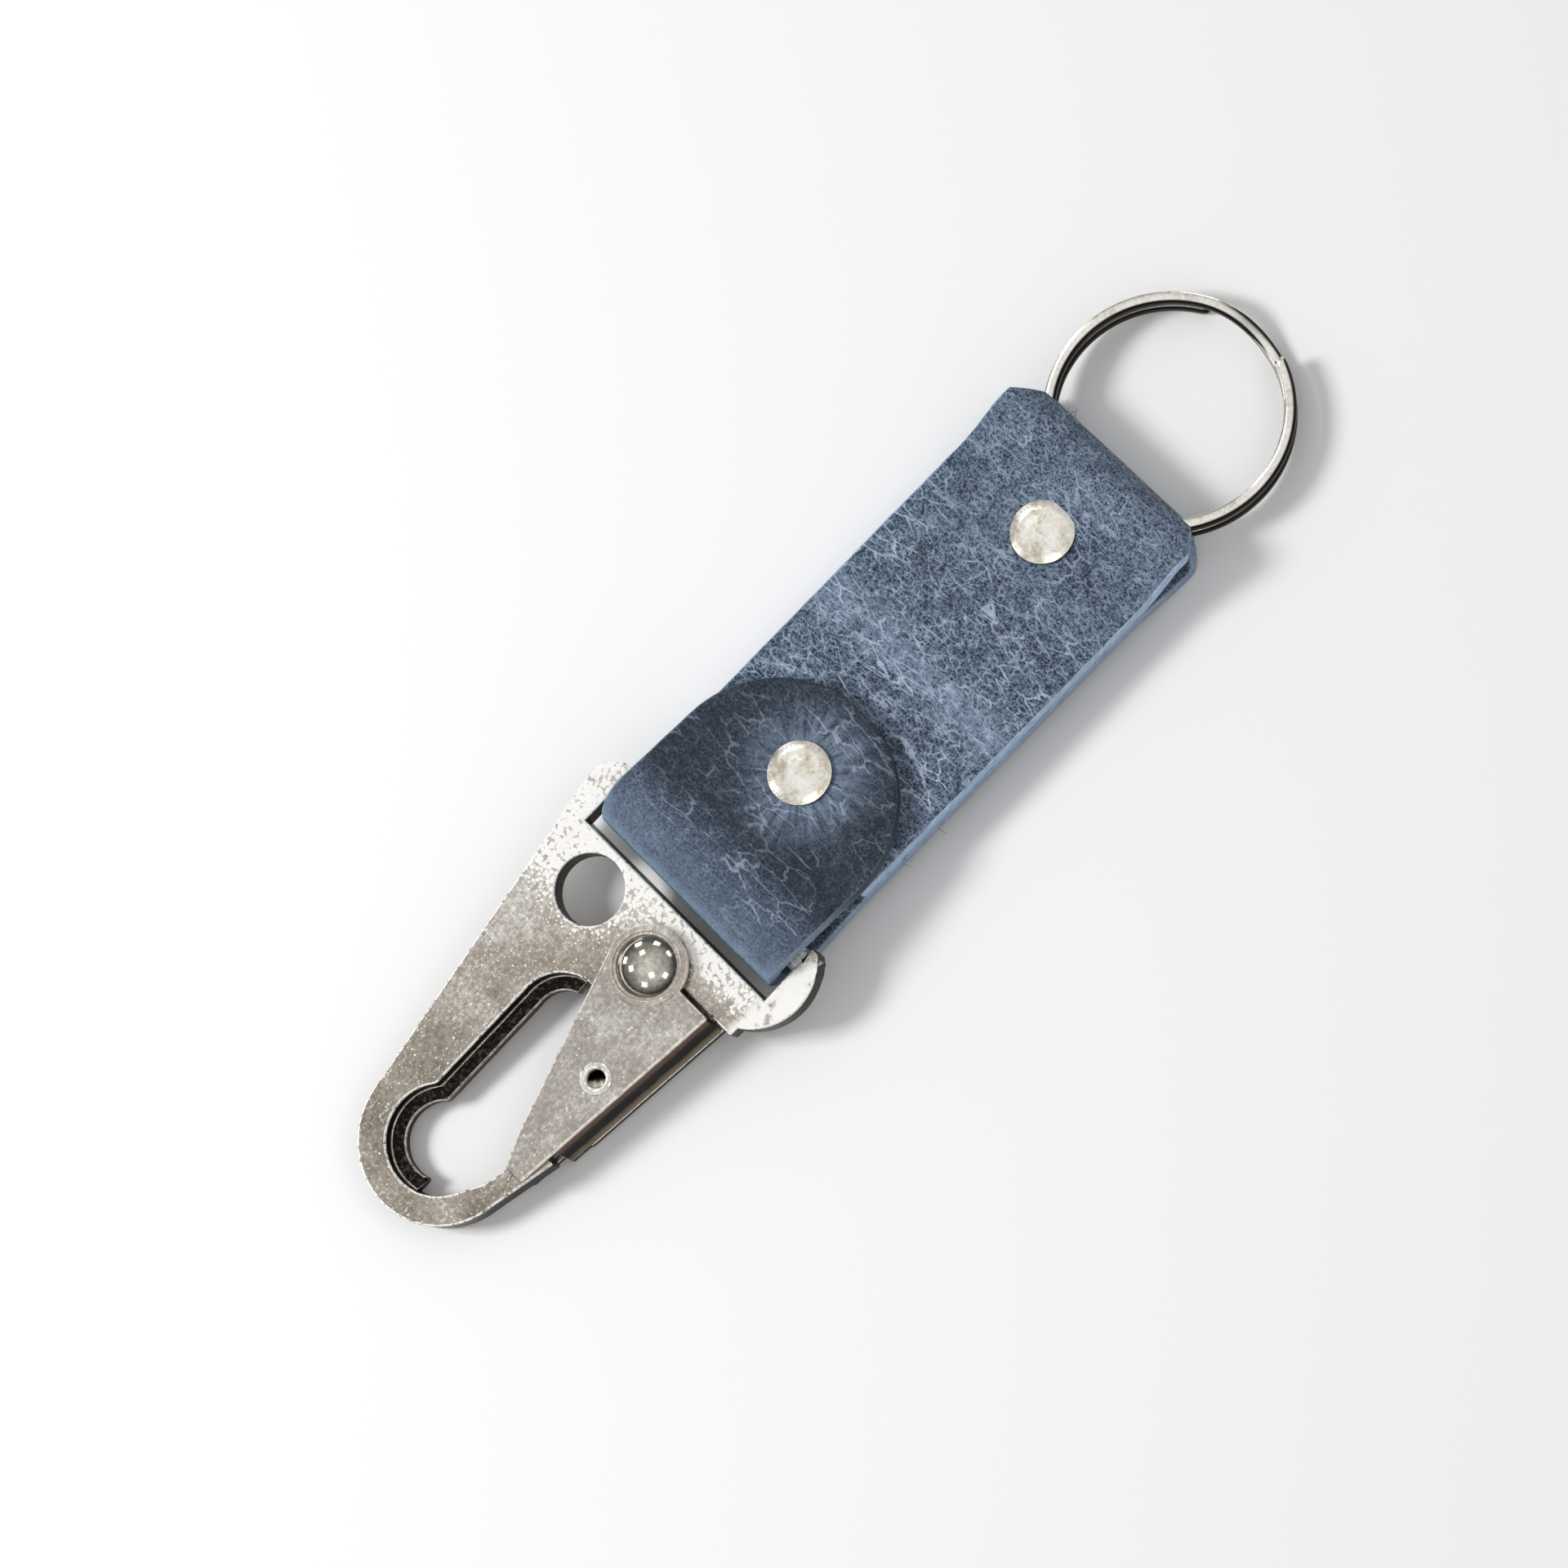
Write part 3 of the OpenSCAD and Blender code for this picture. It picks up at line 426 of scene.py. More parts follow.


# The tilt turns a piece's flat face level, and faces steeper than wallFrom are walls. Three colours make the
# bare metal, a fourth is painted shade on walls and deep faces, and mottle is how strong the blotches are.
metalLooks = dict(
    cast=dict(
        tilt=clipDrop, wallFrom=0.15, dark=srgb(138, 128, 114), light=srgb(184, 175, 163),
        bright=srgb(253, 252, 248), paintedShade=srgb(44, 39, 34), deepShade=srgb(14, 11, 10), roughness=0.24,
        pits=0.85, blotch=0.2, mottle=1.1, rim=1.0, relief=0.7, shadedDeep=(0.6, 0.95), speck=0.3,
        dull=(-46, 24, 0.17), sparkleAt=(-6.2, 10.5, 10.5), slotSide=-9.0, lowEar=-11.6),
    gate=dict(
        tilt=clipDrop, wallFrom=0.42, wallHeight=5.3, tip=-35.3, dark=srgb(150, 143, 133),
        light=srgb(186, 180, 171), bright=srgb(250, 246, 238), paintedShade=srgb(40, 33, 28), roughness=0.25,
        pits=0.7, blotch=0.22, mottle=0.9, rim=1.0, relief=0.5,
        # The gate's wall, bottom to top: a dark band of painted shadow, a pale band, black and brown bands of
        # painted reflection, and a painted highlight along the top bend
        layers=[(0.0, srgb(24, 20, 18)), (0.16, srgb(30, 25, 22)), (0.22, srgb(150, 134, 112)),
                (0.38, srgb(96, 84, 70)), (0.43, srgb(10, 8, 8)), (0.68, srgb(14, 9, 9)),
                (0.74, srgb(84, 64, 55)), (0.9, srgb(108, 86, 74)), (0.95, srgb(252, 236, 218))]),
    pin=dict(
        tilt=clipDrop, wallFrom=-0.9, dark=srgb(196, 190, 180), light=srgb(230, 226, 217),
        bright=srgb(253, 251, 246), paintedShade=srgb(46, 32, 28), roughness=0.15, pits=0.0, blotch=0.6,
        mottle=1.2, rim=0.9, relief=0.3, shadedDeep=(2.2, 0.0)),
    dome=dict(
        tilt=clipDrop, wallFrom=0.5, dark=srgb(142, 138, 124), light=srgb(196, 191, 178),
        bright=srgb(240, 237, 230), paintedShade=srgb(62, 56, 44), roughness=0.07, pits=0.0, blotch=0.3,
        mottle=1.2, rim=0.0, relief=0.15),
    cap=dict(
        tilt=0.0, wallFrom=0.1, dark=srgb(198, 187, 164), light=srgb(236, 232, 220),
        bright=srgb(255, 254, 250), paintedShade=srgb(96, 86, 72), roughness=0.2, pits=0.3, blotch=0.5,
        mottle=2.0, rim=0.0, relief=1.0),
    ring=dict(
        tilt=0.0, wallFrom=0.2, dark=srgb(204, 197, 184), light=srgb(240, 237, 229),
        bright=srgb(254, 252, 247), paintedShade=srgb(40, 36, 31), roughness=0.16, pits=0.0, blotch=0.3,
        mottle=1.2, rim=0.0, relief=0.4, nearSide=0.9),
    spring=dict(
        tilt=clipDrop, wallFrom=0.15, dark=srgb(96, 96, 100), light=srgb(140, 140, 146),
        bright=srgb(180, 180, 186), paintedShade=srgb(60, 60, 64), roughness=0.35, pits=0.0, blotch=0.3,
        mottle=1.0, rim=0.0, relief=0.4))
materials = {name: nickelMaterial(name + "Nickel", look) for name, look in metalLooks.items()}
materials["leather"] = leatherMaterial()
print("materials made")


def closeMesh():
    if bpy.context.object and bpy.context.object.mode != "OBJECT":
        bpy.ops.object.mode_set(mode="OBJECT")


def deselectAll():
    closeMesh()
    bpy.ops.object.select_all(action="DESELECT")


def choose(piece):
    deselectAll()
    piece.select_set(True)
    bpy.context.view_layer.objects.active = piece


def openMesh(piece):
    choose(piece)
    bpy.ops.object.mode_set(mode="EDIT")


def nameNew(name):
    piece = bpy.context.object
    piece.name = name
    piece.data.name = name
    return piece


# Selects what the test accepts; kind is verts, edges or faces, and the mesh is open
def pick(piece, kind, wanted):
    bpy.ops.mesh.select_mode(type=dict(verts="VERT", edges="EDGE", faces="FACE")[kind])
    bpy.ops.mesh.select_all(action="DESELECT")
    mesh = bmesh.from_edit_mesh(piece.data)
    for item in getattr(mesh, kind):
        if wanted(item):
            item.select_set(True)
    mesh.select_flush_mode()
    bmesh.update_edit_mesh(piece.data)


def addModifier(piece, kind, **settings):
    choose(piece)
    modifier = piece.modifiers.new(kind.lower(), kind)
    for key, value in settings.items():
        setattr(modifier, key, value)
    bpy.ops.object.modifier_apply(modifier=modifier.name)


def settle(piece, matrix=None):
    choose(piece)
    if matrix is not None:
        piece.matrix_world = matrix @ piece.matrix_world
    bpy.ops.object.transform_apply(location=True, rotation=True, scale=True)


def dress(piece, material, body, slot, *nodes):
    piece.data.materials.clear()
    piece.data.materials.append(materials[material])
    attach(piece, body)
    if nodes:
        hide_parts(*nodes)


def smooth(piece, degrees):
    choose(piece)
    bpy.ops.object.shade_smooth_by_angle(angle=math.radians(degrees))


# Leather strip: one sheet drawn along the folded strip's middle, then given its thickness
strip = dict(thick=1.82, halfWidth=12.7, cell=0.8, rows=32, start=8.65, rampFrom=48.5, rampTo=46.6,
             foldX=drawn(foldAt[0] - barAt[0]), foldZ=drawn(foldAt[2] - barAt[2]), foldR=2.725, foldOut=3.675,
             backZ=-1.9, tabZ=1.92, barR=3.15, flatFrom=9.6, tabCentre=9.1, tabSteps=48, turnSteps=16,
             underSlack=0.6, cornerFrom=55.2, cornerSlope=1.04, bendNarrow=0.45, round=0.3, sharp=50,
             waves=((9.0, 0.16), (1.3, 0.05)))


# The angle at which a line from the point touches the circle, on the given side
def tangentAngle(point, centre, radius, side):
    dx, dz = centre[0] - point[0], centre[1] - point[1]
    return math.atan2(dz, dx) + math.pi - side * math.acos(radius / math.hypot(dx, dz))


# The middle line of the folded strip, in (x, z): from its hidden end along the front, round the ring's fold,
# along the back, round the clip's bar and up to the middle of the tab's round end
def stripPath():
    s = strip
    bar, fold = (0.0, 0.0), (s["foldX"], s["foldZ"])

    def line(a, b):
        count = max(1, round(math.hypot(b[0] - a[0], b[1] - a[1]) / s["cell"]))
        return [(a[0] + (b[0] - a[0]) * i / count, a[1] + (b[1] - a[1]) * i / count)
                for i in range(1, count + 1)]

    def arc(centre, radius, first, last, count):
        angles = [first + (last - first) * i / count for i in range(count + 1)]
        return [(centre[0] + radius * math.cos(a), centre[1] + radius * math.sin(a)) for a in angles]

    start, ramp, back = (s["start"], 0.0), (s["rampFrom"], 0.0), (s["rampTo"], s["backZ"])
    top = tangentAngle(ramp, fold, s["foldR"], 1)
    low = tangentAngle(back, fold, s["foldR"], -1)
    turnFold = arc(fold, s["foldR"], top, low - (2 * math.pi if low > top else 0), s["turnSteps"])
    flatLow, flatTop = (s["flatFrom"], s["backZ"]), (s["tabCentre"], s["tabZ"])
    under = tangentAngle(flatLow, bar, s["barR"], 1)
    over = tangentAngle(flatTop, bar, s["barR"], -1)
    # The turn round the bar goes backwards, from under the bar to over it
    while under > -math.pi / 2 + s["underSlack"]:
        under -= 2 * math.pi
    while over > under:
        over -= 2 * math.pi
    turnBar = arc(bar, s["barR"], under, over, s["turnSteps"])
    path = [start] + line(start, ramp) + line(ramp, turnFold[0]) + turnFold[1:]
    path += line(path[-1], back) + line(back, flatLow) + line(flatLow, turnBar[0]) + turnBar[1:]
    return path + line(path[-1], flatTop)


# Half width of the strip at a point of its path: cut corners at the ring, a slight neck at the clip's bar
def stripHalf(x):
    s = strip
    outerX = s["foldX"] + (x - s["foldX"]) * s["foldOut"] / s["foldR"]
    corner = max(0.0, outerX - s["cornerFrom"]) * s["cornerSlope"] if x > s["foldX"] else 0.0
    neck = s["bendNarrow"] * min(1.0, max(0.0, -x / s["barR"]) ** 2)
    return s["halfWidth"] - corner - neck


def makeStrap():
    s = strip
    path = stripPath()
    deselectAll()
    bpy.ops.mesh.primitive_grid_add(x_subdivisions=1, y_subdivisions=s["rows"], size=1)
    strap = nameNew("leatherStrap")
    first, second = path[0], path[1]
    strap.scale = ((second[0] - first[0]) * mm, 2 * s["halfWidth"] * mm, 1)
    strap.location = ((first[0] + second[0]) / 2 * mm, 0, first[1] * mm)
    settle(strap)
    openMesh(strap)
    pick(strap, "verts", lambda v: abs(v.co.x - second[0] * mm) < onePoint / 2)
    # Each step of the path extrudes the last row, which is then made as wide as the strip is there
    half = s["halfWidth"]
    for before, after in zip(path[1:], path[2:]):
        move = ((after[0] - before[0]) * mm, 0, (after[1] - before[1]) * mm)
        bpy.ops.mesh.extrude_region_move(TRANSFORM_OT_translate={"value": move})
        newHalf = stripHalf(after[0])
        if newHalf != half:
            bpy.ops.transform.resize(value=(1, newHalf / half, 1), center_override=(0, 0, 0))
            half = newHalf
    # The tab's round end: half of the last row is spun about the middle
    end = path[-1]
    mesh = bmesh.from_edit_mesh(strap.data)
    row = {v.index for v in mesh.verts if v.select and v.co.y > -onePoint / 2}
    pick(strap, "verts", lambda v: v.index in row)
    bpy.ops.mesh.spin(steps=s["tabSteps"], angle=math.pi, center=(end[0] * mm, 0, end[1] * mm),
                      axis=(0, 0, 1))
    bpy.ops.mesh.select_all(action="SELECT")
    bpy.ops.mesh.remove_doubles(threshold=onePoint)
    bpy.ops.mesh.normals_make_consistent(inside=False)
    closeMesh()
    addModifier(strap, "SOLIDIFY", thickness=s["thick"] * mm, offset=0, use_even_offset=True)
    addModifier(strap, "BEVEL", width=s["round"] * mm, segments=2, limit_method="ANGLE",
                angle_limit=math.radians(s["sharp"]), use_clamp_overlap=False)
    addModifier(strap, "SUBSURF", levels=1, render_levels=1)
    for size, amount in s["waves"]:
        texture = bpy.data.textures.new("strapUnevenness", "CLOUDS")
        texture.noise_scale = size * mm
        addModifier(strap, "DISPLACE", texture=texture, strength=amount * mm, mid_level=0.5)
    smooth(strap, s["sharp"])
    settle(strap, onStrap)
    return strap


strap = makeStrap()
dress(strap, "leather", "strap", "blue_leather", "strap")
print("strap made:", len(strap.data.polygons), "faces")


# Frayed fibres on the fold's cut corner and on the lower edge below the tab: thin curves, each a little
# curled. A row is its first and last point, the way the fibres point, and how many there are.
fray = dict(thick=0.035, reach=0.8, reachShare=(0.35, 1.3), seed=11, stray=0.5, rise=(-0.4, 0.25), curl=0.3,
            curlUp=0.15, tipThick=0.45, layer=1.2, rootPull=0.4, tipPull=0.2, steps=5, roundness=1,
            rows=[((57.2, 8.0, -1.2), (57.6, 6.2, -0.9), (1.0, 0.2), 9),
                  ((12.0, -12.7, -1.0), (21.0, -12.7, -1.4), (0.3, -1.0), 6)])


def makeFray():
    chance = random.Random(fray["seed"])
    fibres = []
    for first, last, (wayX, wayY), count in fray["rows"]:
        for _ in range(count):
            share = chance.random()
            height = chance.uniform(-fray["layer"], fray["layer"])
            start = Vector(first).lerp(Vector(last), share) + Vector((0, 0, height))
            reach = fray["reach"] * chance.uniform(*fray["reachShare"])
            stray, rise = chance.uniform(-fray["stray"], fray["stray"]), chance.uniform(*fray["rise"])
            tip = start + Vector((wayX * reach, wayY * reach + stray, rise))
            deselectAll()
            bpy.ops.curve.primitive_bezier_curve_add()
            fibre = bpy.context.object
            points = fibre.data.splines[0].bezier_points
            curlX, curlY = [chance.uniform(-fray["curl"], fray["curl"]) for _ in range(2)]
            curl = Vector((curlX, curlY, fray["curlUp"]))
            pulls = [(tip - start) * fray["rootPull"], curl + (tip - start) * fray["tipPull"]]
            for point, place, pull in zip(points, (start, tip), pulls):
                point.co = place * mm
                point.handle_left = place * mm - pull * mm
                point.handle_right = place * mm + pull * mm
            points[0].radius, points[1].radius = 1.0, fray["tipThick"]
            fibre.data.bevel_depth = fray["thick"] * mm
            fibre.data.bevel_resolution = fray["roundness"]
            fibre.data.resolution_u = fray["steps"]
            fibre.data.use_fill_caps = True
            bpy.ops.object.convert(target="MESH")
            fibres.append(bpy.context.object)
    deselectAll()
    for fibre in fibres:
        fibre.select_set(True)
    bpy.context.view_layer.objects.active = fibres[0]
    bpy.ops.object.join()
    piece = nameNew("frayedFibres")
    openMesh(piece)
    bpy.ops.mesh.select_all(action="SELECT")
    bpy.ops.mesh.remove_doubles(threshold=onePoint / 2)
    bpy.ops.mesh.normals_make_consistent(inside=False)
    closeMesh()
    settle(piece, onStrap)
    return piece


frayedFibres = makeFray()
dress(frayedFibres, "leather", "strap", "blue_leather")


# Faces that differ by less than flatTo degrees are joined, and edges above sharpFrom degrees are rounded
rounding = dict(flatTo=0.8, sharpFrom=35, segments=3, soft=40)


# A copy of a CAD node, merged, its flat faces joined and its outer edges rounded. All places are the clip's
# own. The cuts across the piece, each through an opening, keep every joined face free of holes. Edges in a
# plain box, given by two corners, stay as they are: they are too short or too near to others to be rounded.
# A weld closes a step in the outline that is smaller than the rounding, within a reach of a point. Inner
# corners between the two heights of a root are rounded too.
def roundedCopy(node, name, width=0.0, cuts=(), plain=(), weld=(), root=(0, 0)):
    source = frame["nodes"][node]
    choose(source)
    bpy.ops.object.duplicate()
    piece = nameNew(name)
    settle(piece)
    openMesh(piece)
    bpy.ops.mesh.customdata_custom_splitnormals_clear()
    bpy.ops.mesh.select_all(action="SELECT")
    bpy.ops.mesh.remove_doubles(threshold=onePoint)
    bpy.ops.mesh.normals_make_consistent(inside=False)
    local = onClip.inverted()
    for x, y, reach in weld:
        pick(piece, "verts", lambda v: (local @ v.co / mm - Vector((x, y, 0))).xy.length < reach)
        bpy.ops.mesh.remove_doubles(threshold=2 * reach * mm)
    for x in cuts:
        bpy.ops.mesh.select_all(action="SELECT")
        bpy.ops.mesh.bisect(plane_co=onClip @ Vector((x * mm, 0, 0)), plane_no=alongClip, use_fill=False,
                            threshold=onePoint / 2)
        bpy.ops.mesh.mark_seam(clear=False)
    if cuts:
        bpy.ops.mesh.select_all(action="SELECT")
        bpy.ops.mesh.dissolve_limited(angle_limit=math.radians(rounding["flatTo"]), delimit={"SEAM"})
        bpy.ops.mesh.select_all(action="SELECT")
        bpy.ops.mesh.mark_seam(clear=True)
    if width:
        def isRounded(edge):
            ends = [local @ v.co / mm for v in edge.verts]
            isPlain = any(all(low[i] < v[i] < high[i] for v in ends for i in range(3))
                          for low, high in plain)
            isWanted = edge.is_convex or all(root[0] < v.z < root[1] for v in ends)
            return isWanted and edge.calc_face_angle(0) > math.radians(rounding["sharpFrom"]) and not isPlain

        pick(piece, "edges", isRounded)
        bpy.ops.mesh.bevel(offset=width * mm, segments=rounding["segments"], affect="EDGES")
        bpy.ops.mesh.select_all(action="SELECT")
        bpy.ops.mesh.dissolve_degenerate(threshold=onePoint / 2)
        smooth(piece, rounding["soft"])
        addModifier(piece, "WEIGHTED_NORMAL", mode="FACE_AREA", weight=100, keep_sharp=True)
    closeMesh()
    return piece


# Plain boxes: along the end bar, past its axis, behind the ledge, at the ledge's end and at the nose's tip
plate = dict(width=0.3, cuts=(-38.2, -25, -10.4, -3.2), weld=[(-21.2, 13.03, 0.2)], root=(-0.3, 0.1),
             plain=[((-2.2, -13.55, -9), (9, 13.55, 9)), ((0, -99, -9), (9, 99, 9)),
                    ((-45.5, -5, -9), (-15, 8.2, -1)), ((-42.5, -0.5, -9), (-41.8, 0.3, 0)),
                    ((-32.2, -6.6, -9), (-31.3, -5.8, 9))])
hookPlate = roundedCopy("hook_body", "hookPlate", **plate)
dress(hookPlate, "cast", "hook", "plated_zinc", "hook_body")
shell = dict(width=0.22, cuts=(-22.4, -11))
gateShell = roundedCopy("gate", "gateShell", **shell)
dress(gateShell, "gate", "gate", "plated_steel", "gate")
print("hook and gate made")


turning = dict(segments=72, soft=38)


# A closed piece turned on its axis: a disc drawn along rings of (radius, height). A lean, in degrees, turns
# the last ring about the X axis.
def turned(name, rings, matrix, segments=turning["segments"], lean=0.0):
    deselectAll()
    radius, height = rings[0]
    bpy.ops.mesh.primitive_circle_add(vertices=segments, radius=radius * mm, fill_type="NGON",
                                      location=(0, 0, height * mm))
    piece = nameNew(name)
    settle(piece)
    openMesh(piece)
    bpy.ops.mesh.select_all(action="SELECT")
    for newRadius, newHeight in rings[1:]:
        bpy.ops.mesh.extrude_region_move(TRANSFORM_OT_translate={"value": (0, 0, (newHeight - height) * mm)})
        scale = newRadius / radius
        bpy.ops.transform.resize(value=(scale, scale, 1), center_override=(0, 0, newHeight * mm))
        radius, height = newRadius, newHeight
    if lean:
        bpy.ops.transform.rotate(value=math.radians(lean), orient_axis="X",
                                 center_override=(0, 0, height * mm))
    bpy.ops.mesh.select_all(action="SELECT")
    bpy.ops.mesh.normals_make_consistent(inside=False)
    closeMesh()
    smooth(piece, turning["soft"])
    settle(piece, matrix)
    return piece


capShape = dict(radius=3.3, rim=0.35, edge=0.12, under=0.15, disc=2.1, dish=0.17, discSoft=0.125, rings=16,
                ringSpread=1.3, domePower=2.4, pole=0.1, height=1.0, backHeight=0.8)


# A cap from its skirt up to its middle: a straight rim, then a dome with a shallow dish
def capRings(height):
    c = capShape
    full = c["radius"]
    shares = [(i / c["rings"]) ** c["ringSpread"] for i in range(1, c["rings"])]
    radii = [full - c["edge"] / 3] + [full * (1 - share) for share in shares]
    rings = [(full - c["edge"], -c["under"]), (full, -c["under"] / 2), (full, c["rim"] * 0.8)]
    for radius in radii:
        dome = c["rim"] + (height - c["rim"]) * (1 - (radius / full) ** c["domePower"])
        dip = c["dish"] / (1 + math.exp((radius - c["disc"]) / c["discSoft"]))
        rings.append((max(radius, c["pole"]), dome - dip))
    return rings


# Each cap's node, and the height of the leather's face that it lies on; back caps face down
caps = dict(clipCap=("clip_rivet_cap", 2.85), clipBackCap=("clip_rivet_post", -2.85),
            ringCap=("ring_rivet_cap", 0.95), ringBackCap=("ring_rivet_post", -2.85))
for name, (node, z) in caps.items():
    isBack = "Back" in name
    place = onStrap @ Matrix.Translation(Vector((alongStrap(node), 0, z)) * mm)
    if isBack:
        place = place @ Matrix.Rotation(math.pi, 4, "X")
    cap = turned(name, capRings(capShape["backHeight" if isBack else "height"]), place)
    dress(cap, "cap", "strap", "plated_cap", node)
print("caps made")

# The gate's rivet, from its tail up to the middle of its dome, and the gate's raised lip round the dome
pivot = dict(x=-11, y=-2.3, cheek=2.67, domeR=3.15, domeH=1.6, domeLift=0.04, domeRings=25, shank=1.25,
             tailR=2.3, tailH=0.6, edge=0.12, lipOuter=4.12, lipInner=3.42, lipH=0.16, lipRoot=0.3,
             lipFall=0.02, lipEdge=0.08, lipRound=0.22, segments=96)
onPivot = onClip @ Matrix.Translation(Vector((pivot["x"], pivot["y"], 0)) * mm)
tailZ = -pivot["cheek"] - pivot["tailH"]
ballR = (pivot["domeR"] ** 2 + pivot["domeH"] ** 2) / (2 * pivot["domeH"])
headRings = [(pivot["tailR"] - pivot["edge"], tailZ), (pivot["tailR"], tailZ + pivot["edge"]),
             (pivot["tailR"], -pivot["cheek"]), (pivot["shank"], -pivot["cheek"]),
             (pivot["shank"], pivot["cheek"]), (pivot["domeR"] - pivot["edge"], pivot["cheek"])]
domeTop = pivot["cheek"] + pivot["domeLift"] + pivot["domeH"]
for i in range(pivot["domeRings"]):
    headR = pivot["domeR"] * (1 - i / pivot["domeRings"])
    headRings.append((headR, domeTop - ballR + math.sqrt(ballR ** 2 - headR ** 2)))
pivotHead = turned("pivotHead", headRings, onPivot, segments=pivot["segments"])
dress(pivotHead, "dome", "hook", "polished_steel", "gate_pivot_rivet")
lipOuter, lipInner, fall = pivot["lipOuter"], pivot["lipInner"], pivot["lipFall"]
lipFoot = pivot["cheek"] - fall
lipTop = lipFoot + pivot["lipH"]
lipRings = [(lipOuter, lipFoot - pivot["lipRoot"]), (lipOuter, lipFoot),
            (lipOuter - pivot["lipEdge"], lipTop - fall), (lipOuter - pivot["lipRound"], lipTop),
            (lipInner + pivot["lipRound"], lipTop), (lipInner + pivot["lipEdge"], lipTop - 2 * fall),
            (lipInner, lipFoot - fall / 2), (lipInner - fall, lipFoot - pivot["lipRoot"])]
gateLip = turned("gateLip", lipRings, onPivot, segments=pivot["segments"])
dress(gateLip, "gate", "gate", "plated_steel")

# The spring's pin: a semi-tubular end with a rolled rim and a slanted floor in its bore
pin = dict(x=-22.4, y=-6.5, half=2.75, radius=1.5, edge=0.15, bore=0.98, boreEdge=0.08, deep=0.9,
           roll=0.14, rollH=0.18, rollFrom=0.2, rollLow=0.1, rollHigh=0.06, rollFlat=0.25,
           lean=32, leanWay=-40, segments=64)
full, half, bore, rollR = pin["radius"], pin["half"], pin["bore"], pin["radius"] + pin["roll"]
rollLow, rollHigh, rollTop = half - pin["rollLow"], half + pin["rollHigh"], half + pin["rollH"]
pinRings = [(full - pin["edge"], -half), (full, -half + pin["edge"]), (full, half - pin["rollFrom"]),
            (rollR, rollLow), (rollR, rollHigh), (full, rollTop), (full - pin["rollFlat"], rollTop),
            (bore + pin["boreEdge"], rollHigh), (bore, rollLow), (bore, half - pin["deep"])]
onPin = onClip @ Matrix.Translation(Vector((pin["x"], pin["y"], 0)) * mm)
pinEnd = turned("pinEnd", pinRings, onPin @ Matrix.Rotation(math.radians(pin["leanWay"]), 4, "Z"),
                segments=pin["segments"], lean=pin["lean"])
dress(pinEnd, "pin", "gate", "polished_steel", "spring_pin")
print("pivot and pin made")

# The ring: its triangles paired into quads and subdivided, which rounds the wire
wire = dict(pairTo=math.radians(60), levels=2, soft=60)
splitRing = roundedCopy("split_ring", "splitRing")
openMesh(splitRing)
bpy.ops.mesh.select_all(action="SELECT")
bpy.ops.mesh.tris_convert_to_quads(face_threshold=wire["pairTo"], shape_threshold=wire["pairTo"])
closeMesh()
addModifier(splitRing, "SUBSURF", levels=wire["levels"], render_levels=wire["levels"])
smooth(splitRing, wire["soft"])
dress(splitRing, "ring", "ring", "ring_steel", "split_ring")
print("ring made:", len(splitRing.data.polygons), "faces")

# The spring in two parts, cut across its long leg: the turns stay in the hook's pocket, and the end of the
# leg swings with the gate's pin
spring = dict(cutX=-19.3, soft=60, parts=(("springTurns", "hook", True), ("springLeg", "gate", False)))
springParts = [(roundedCopy("gate_spring", name), body, isTurns) for name, body, isTurns in spring["parts"]]
for part, body, isTurns in springParts:
    openMesh(part)
    bpy.ops.mesh.select_all(action="SELECT")
    bpy.ops.mesh.bisect(plane_co=onClip @ Vector((spring["cutX"] * mm, 0, 0)), plane_no=alongClip,
                        use_fill=True, clear_inner=isTurns, clear_outer=not isTurns, threshold=onePoint / 2)
    closeMesh()
    smooth(part, spring["soft"])
    dress(part, "spring", body, "spring_steel", *(["gate_spring"] if isTurns else []))
print("spring made")


# Pale floor and soft studio light
studio = dict(
    floor=(0.9, 0.9, 0.9), floorSize=6, floorRough=0.9,
    world=0.52, seen=1.0, horizon=0.06, overhead=0.86, glossSpan=(0.05, 0.95),
    key=("keyLamp", (-330, 300, 430), 170, 2.7), fill=("fillLamp", (260, -260, 520), 300, 0.25),
    panel=dict(size=150, power=0.2, far=600, lift=3,
               ways=[(-0.47, 0.87, 0.22), (-0.60, 0.50, 0.60), (0.22, 0.66, 0.72), (0.83, 0.51, 0.25),
                     (-0.74, -0.41, 0.54), (-0.20, -0.45, 0.87), (0.24, -0.82, 0.51), (0.95, -0.13, 0.25),
                     (0.26, 0.94, 0.22)]))

deselectAll()
bpy.ops.mesh.primitive_plane_add(size=studio["floorSize"])
floor = nameNew("floor")
floorRecipe = Recipe("paleFloor")
floorRecipe.finish(Base_Color=studio["floor"], Roughness=studio["floorRough"])
floor.data.materials.append(floorRecipe.material)


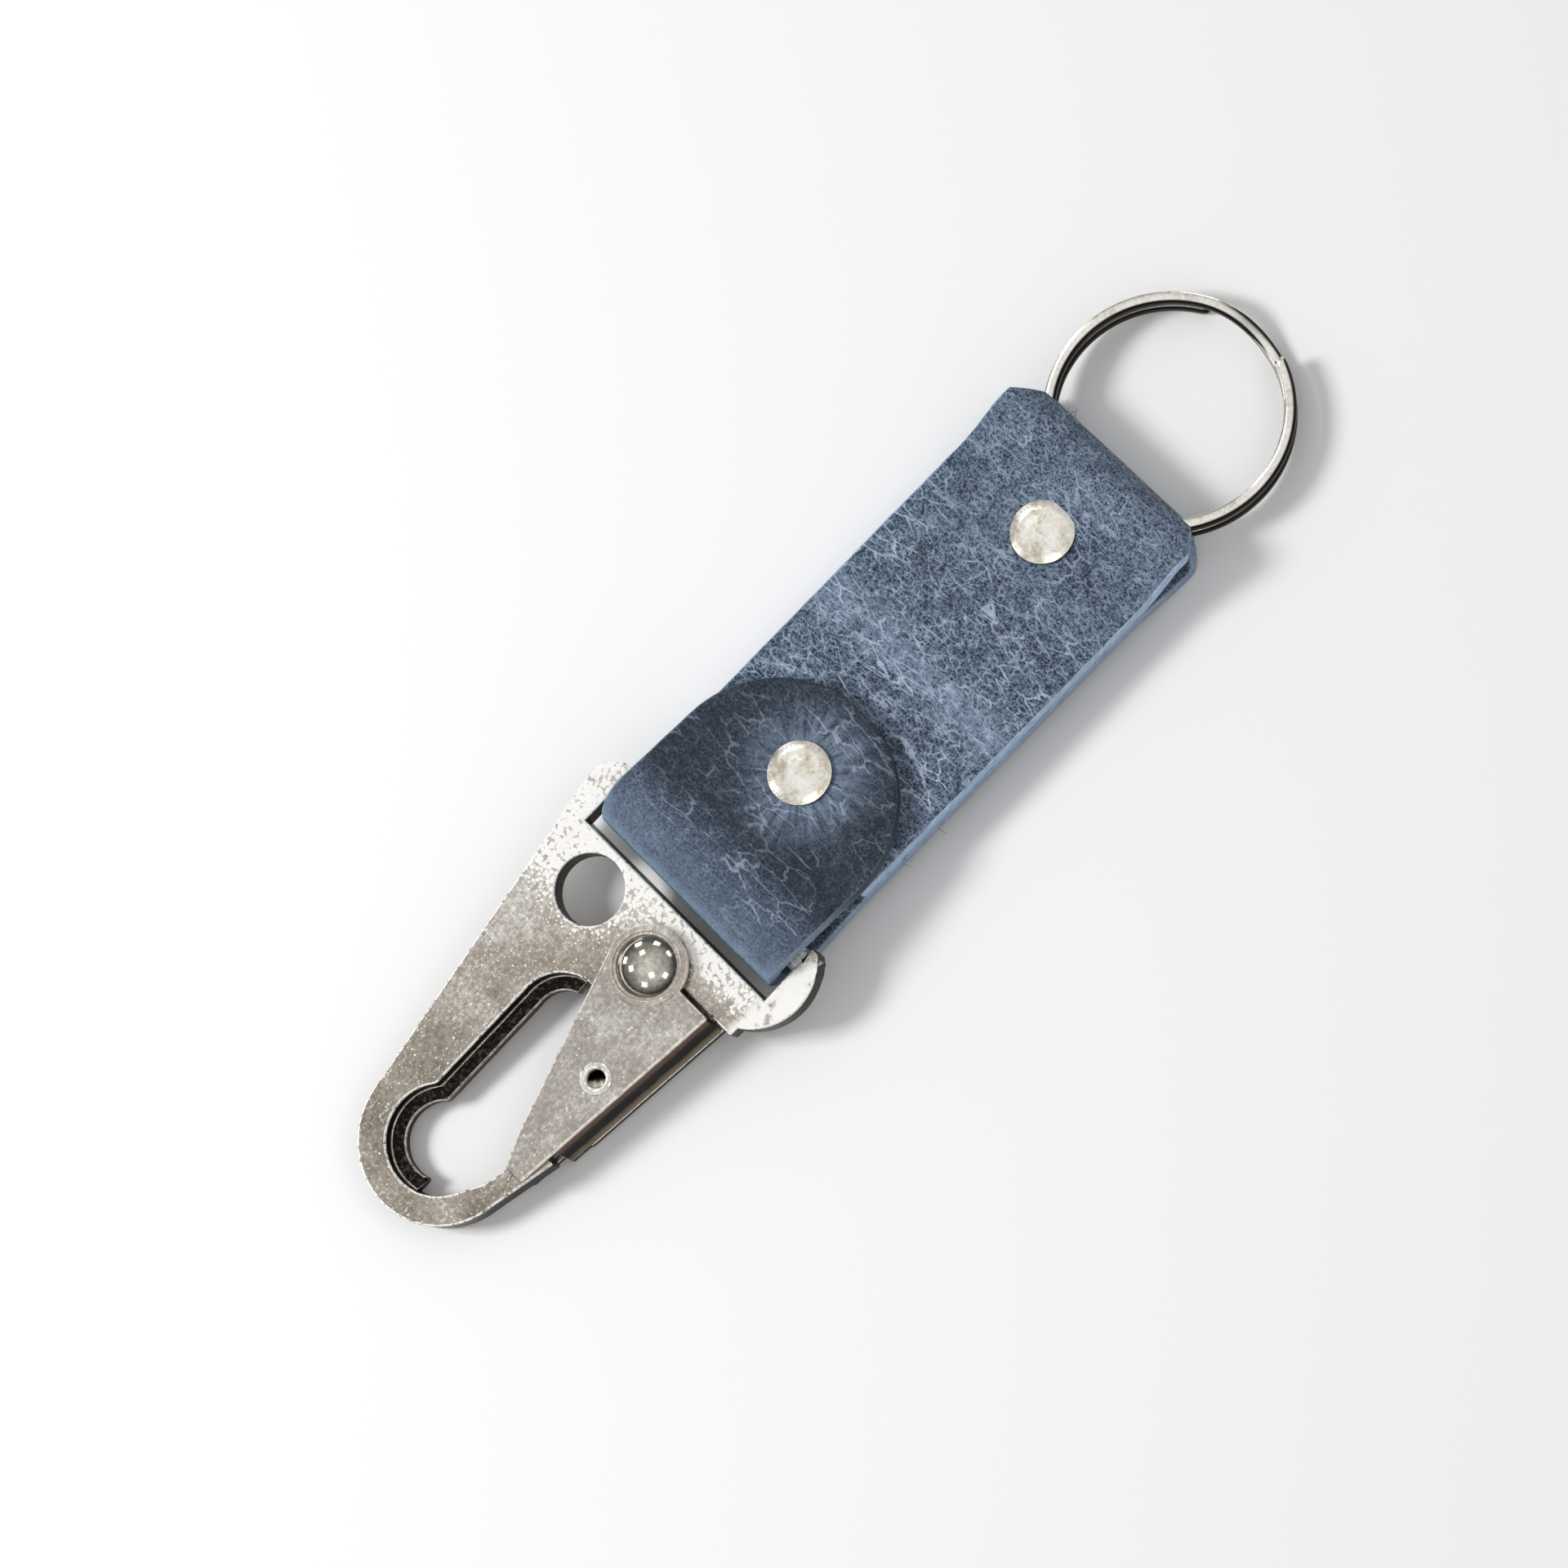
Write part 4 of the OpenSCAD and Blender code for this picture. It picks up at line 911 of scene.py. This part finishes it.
# The world lights the object softly; the camera sees it white, and polished metal sees it pale overhead and
# dark towards the horizon
def makeWorld():
    world = bpy.data.worlds.new("studio")
    bpy.context.scene.world = world
    world.use_nodes = True
    nodes, links = world.node_tree.nodes, world.node_tree.links
    background = nodes["Background"].inputs
    background["Color"].default_value = (1, 1, 1, 1)
    rays = nodes.new("ShaderNodeLightPath").outputs
    direction = nodes.new("ShaderNodeTexCoord").outputs["Generated"]
    axes = nodes.new("ShaderNodeSeparateXYZ")
    links.new(direction, axes.inputs[0])

    def levelBetween(socket, low, high, span=(0.0, 1.0)):
        level = nodes.new("ShaderNodeMapRange")
        links.new(socket, level.inputs["Value"])
        level.inputs["From Min"].default_value, level.inputs["From Max"].default_value = span
        for name, value in (("To Min", low), ("To Max", high)):
            if isinstance(value, float):
                level.inputs[name].default_value = value
            else:
                links.new(value, level.inputs[name])
        return level.outputs[0]

    gloss = levelBetween(axes.outputs["Z"], studio["horizon"], studio["overhead"], studio["glossSpan"])
    soft = levelBetween(rays["Is Glossy Ray"], studio["world"], gloss)
    links.new(levelBetween(rays["Is Camera Ray"], soft, studio["seen"]), background["Strength"])


makeWorld()


# A mirrored lamp is a small bright window that is seen in polished metal alone; the others light the object
# and aren't mirrored
def addLamp(name, place, size, power, isMirrored=False):
    lampData = bpy.data.lights.new(name, "AREA")
    lampData.size = size * mm
    lampData.energy = power
    lamp = bpy.data.objects.new(name, lampData)
    lamp.location = Vector(place) * mm
    lamp.rotation_euler = (-lamp.location).to_track_quat("-Z", "Y").to_euler()
    lamp.visible_glossy = isMirrored
    lamp.visible_diffuse = not isMirrored
    bpy.context.scene.collection.objects.link(lamp)


addLamp(*studio["key"])
addLamp(*studio["fill"])

# Nine small windows round the rivet's dome
panel = studio["panel"]
domePlace = barPlace / mm + Vector((pivot["x"], pivot["y"], panel["lift"]))
for i, way in enumerate(panel["ways"]):
    place = domePlace + Vector(way).normalized() * panel["far"]
    addLamp(f"panelLamp{i}", place, panel["size"], panel["power"], isMirrored=True)
print("studio set")

deselectAll()
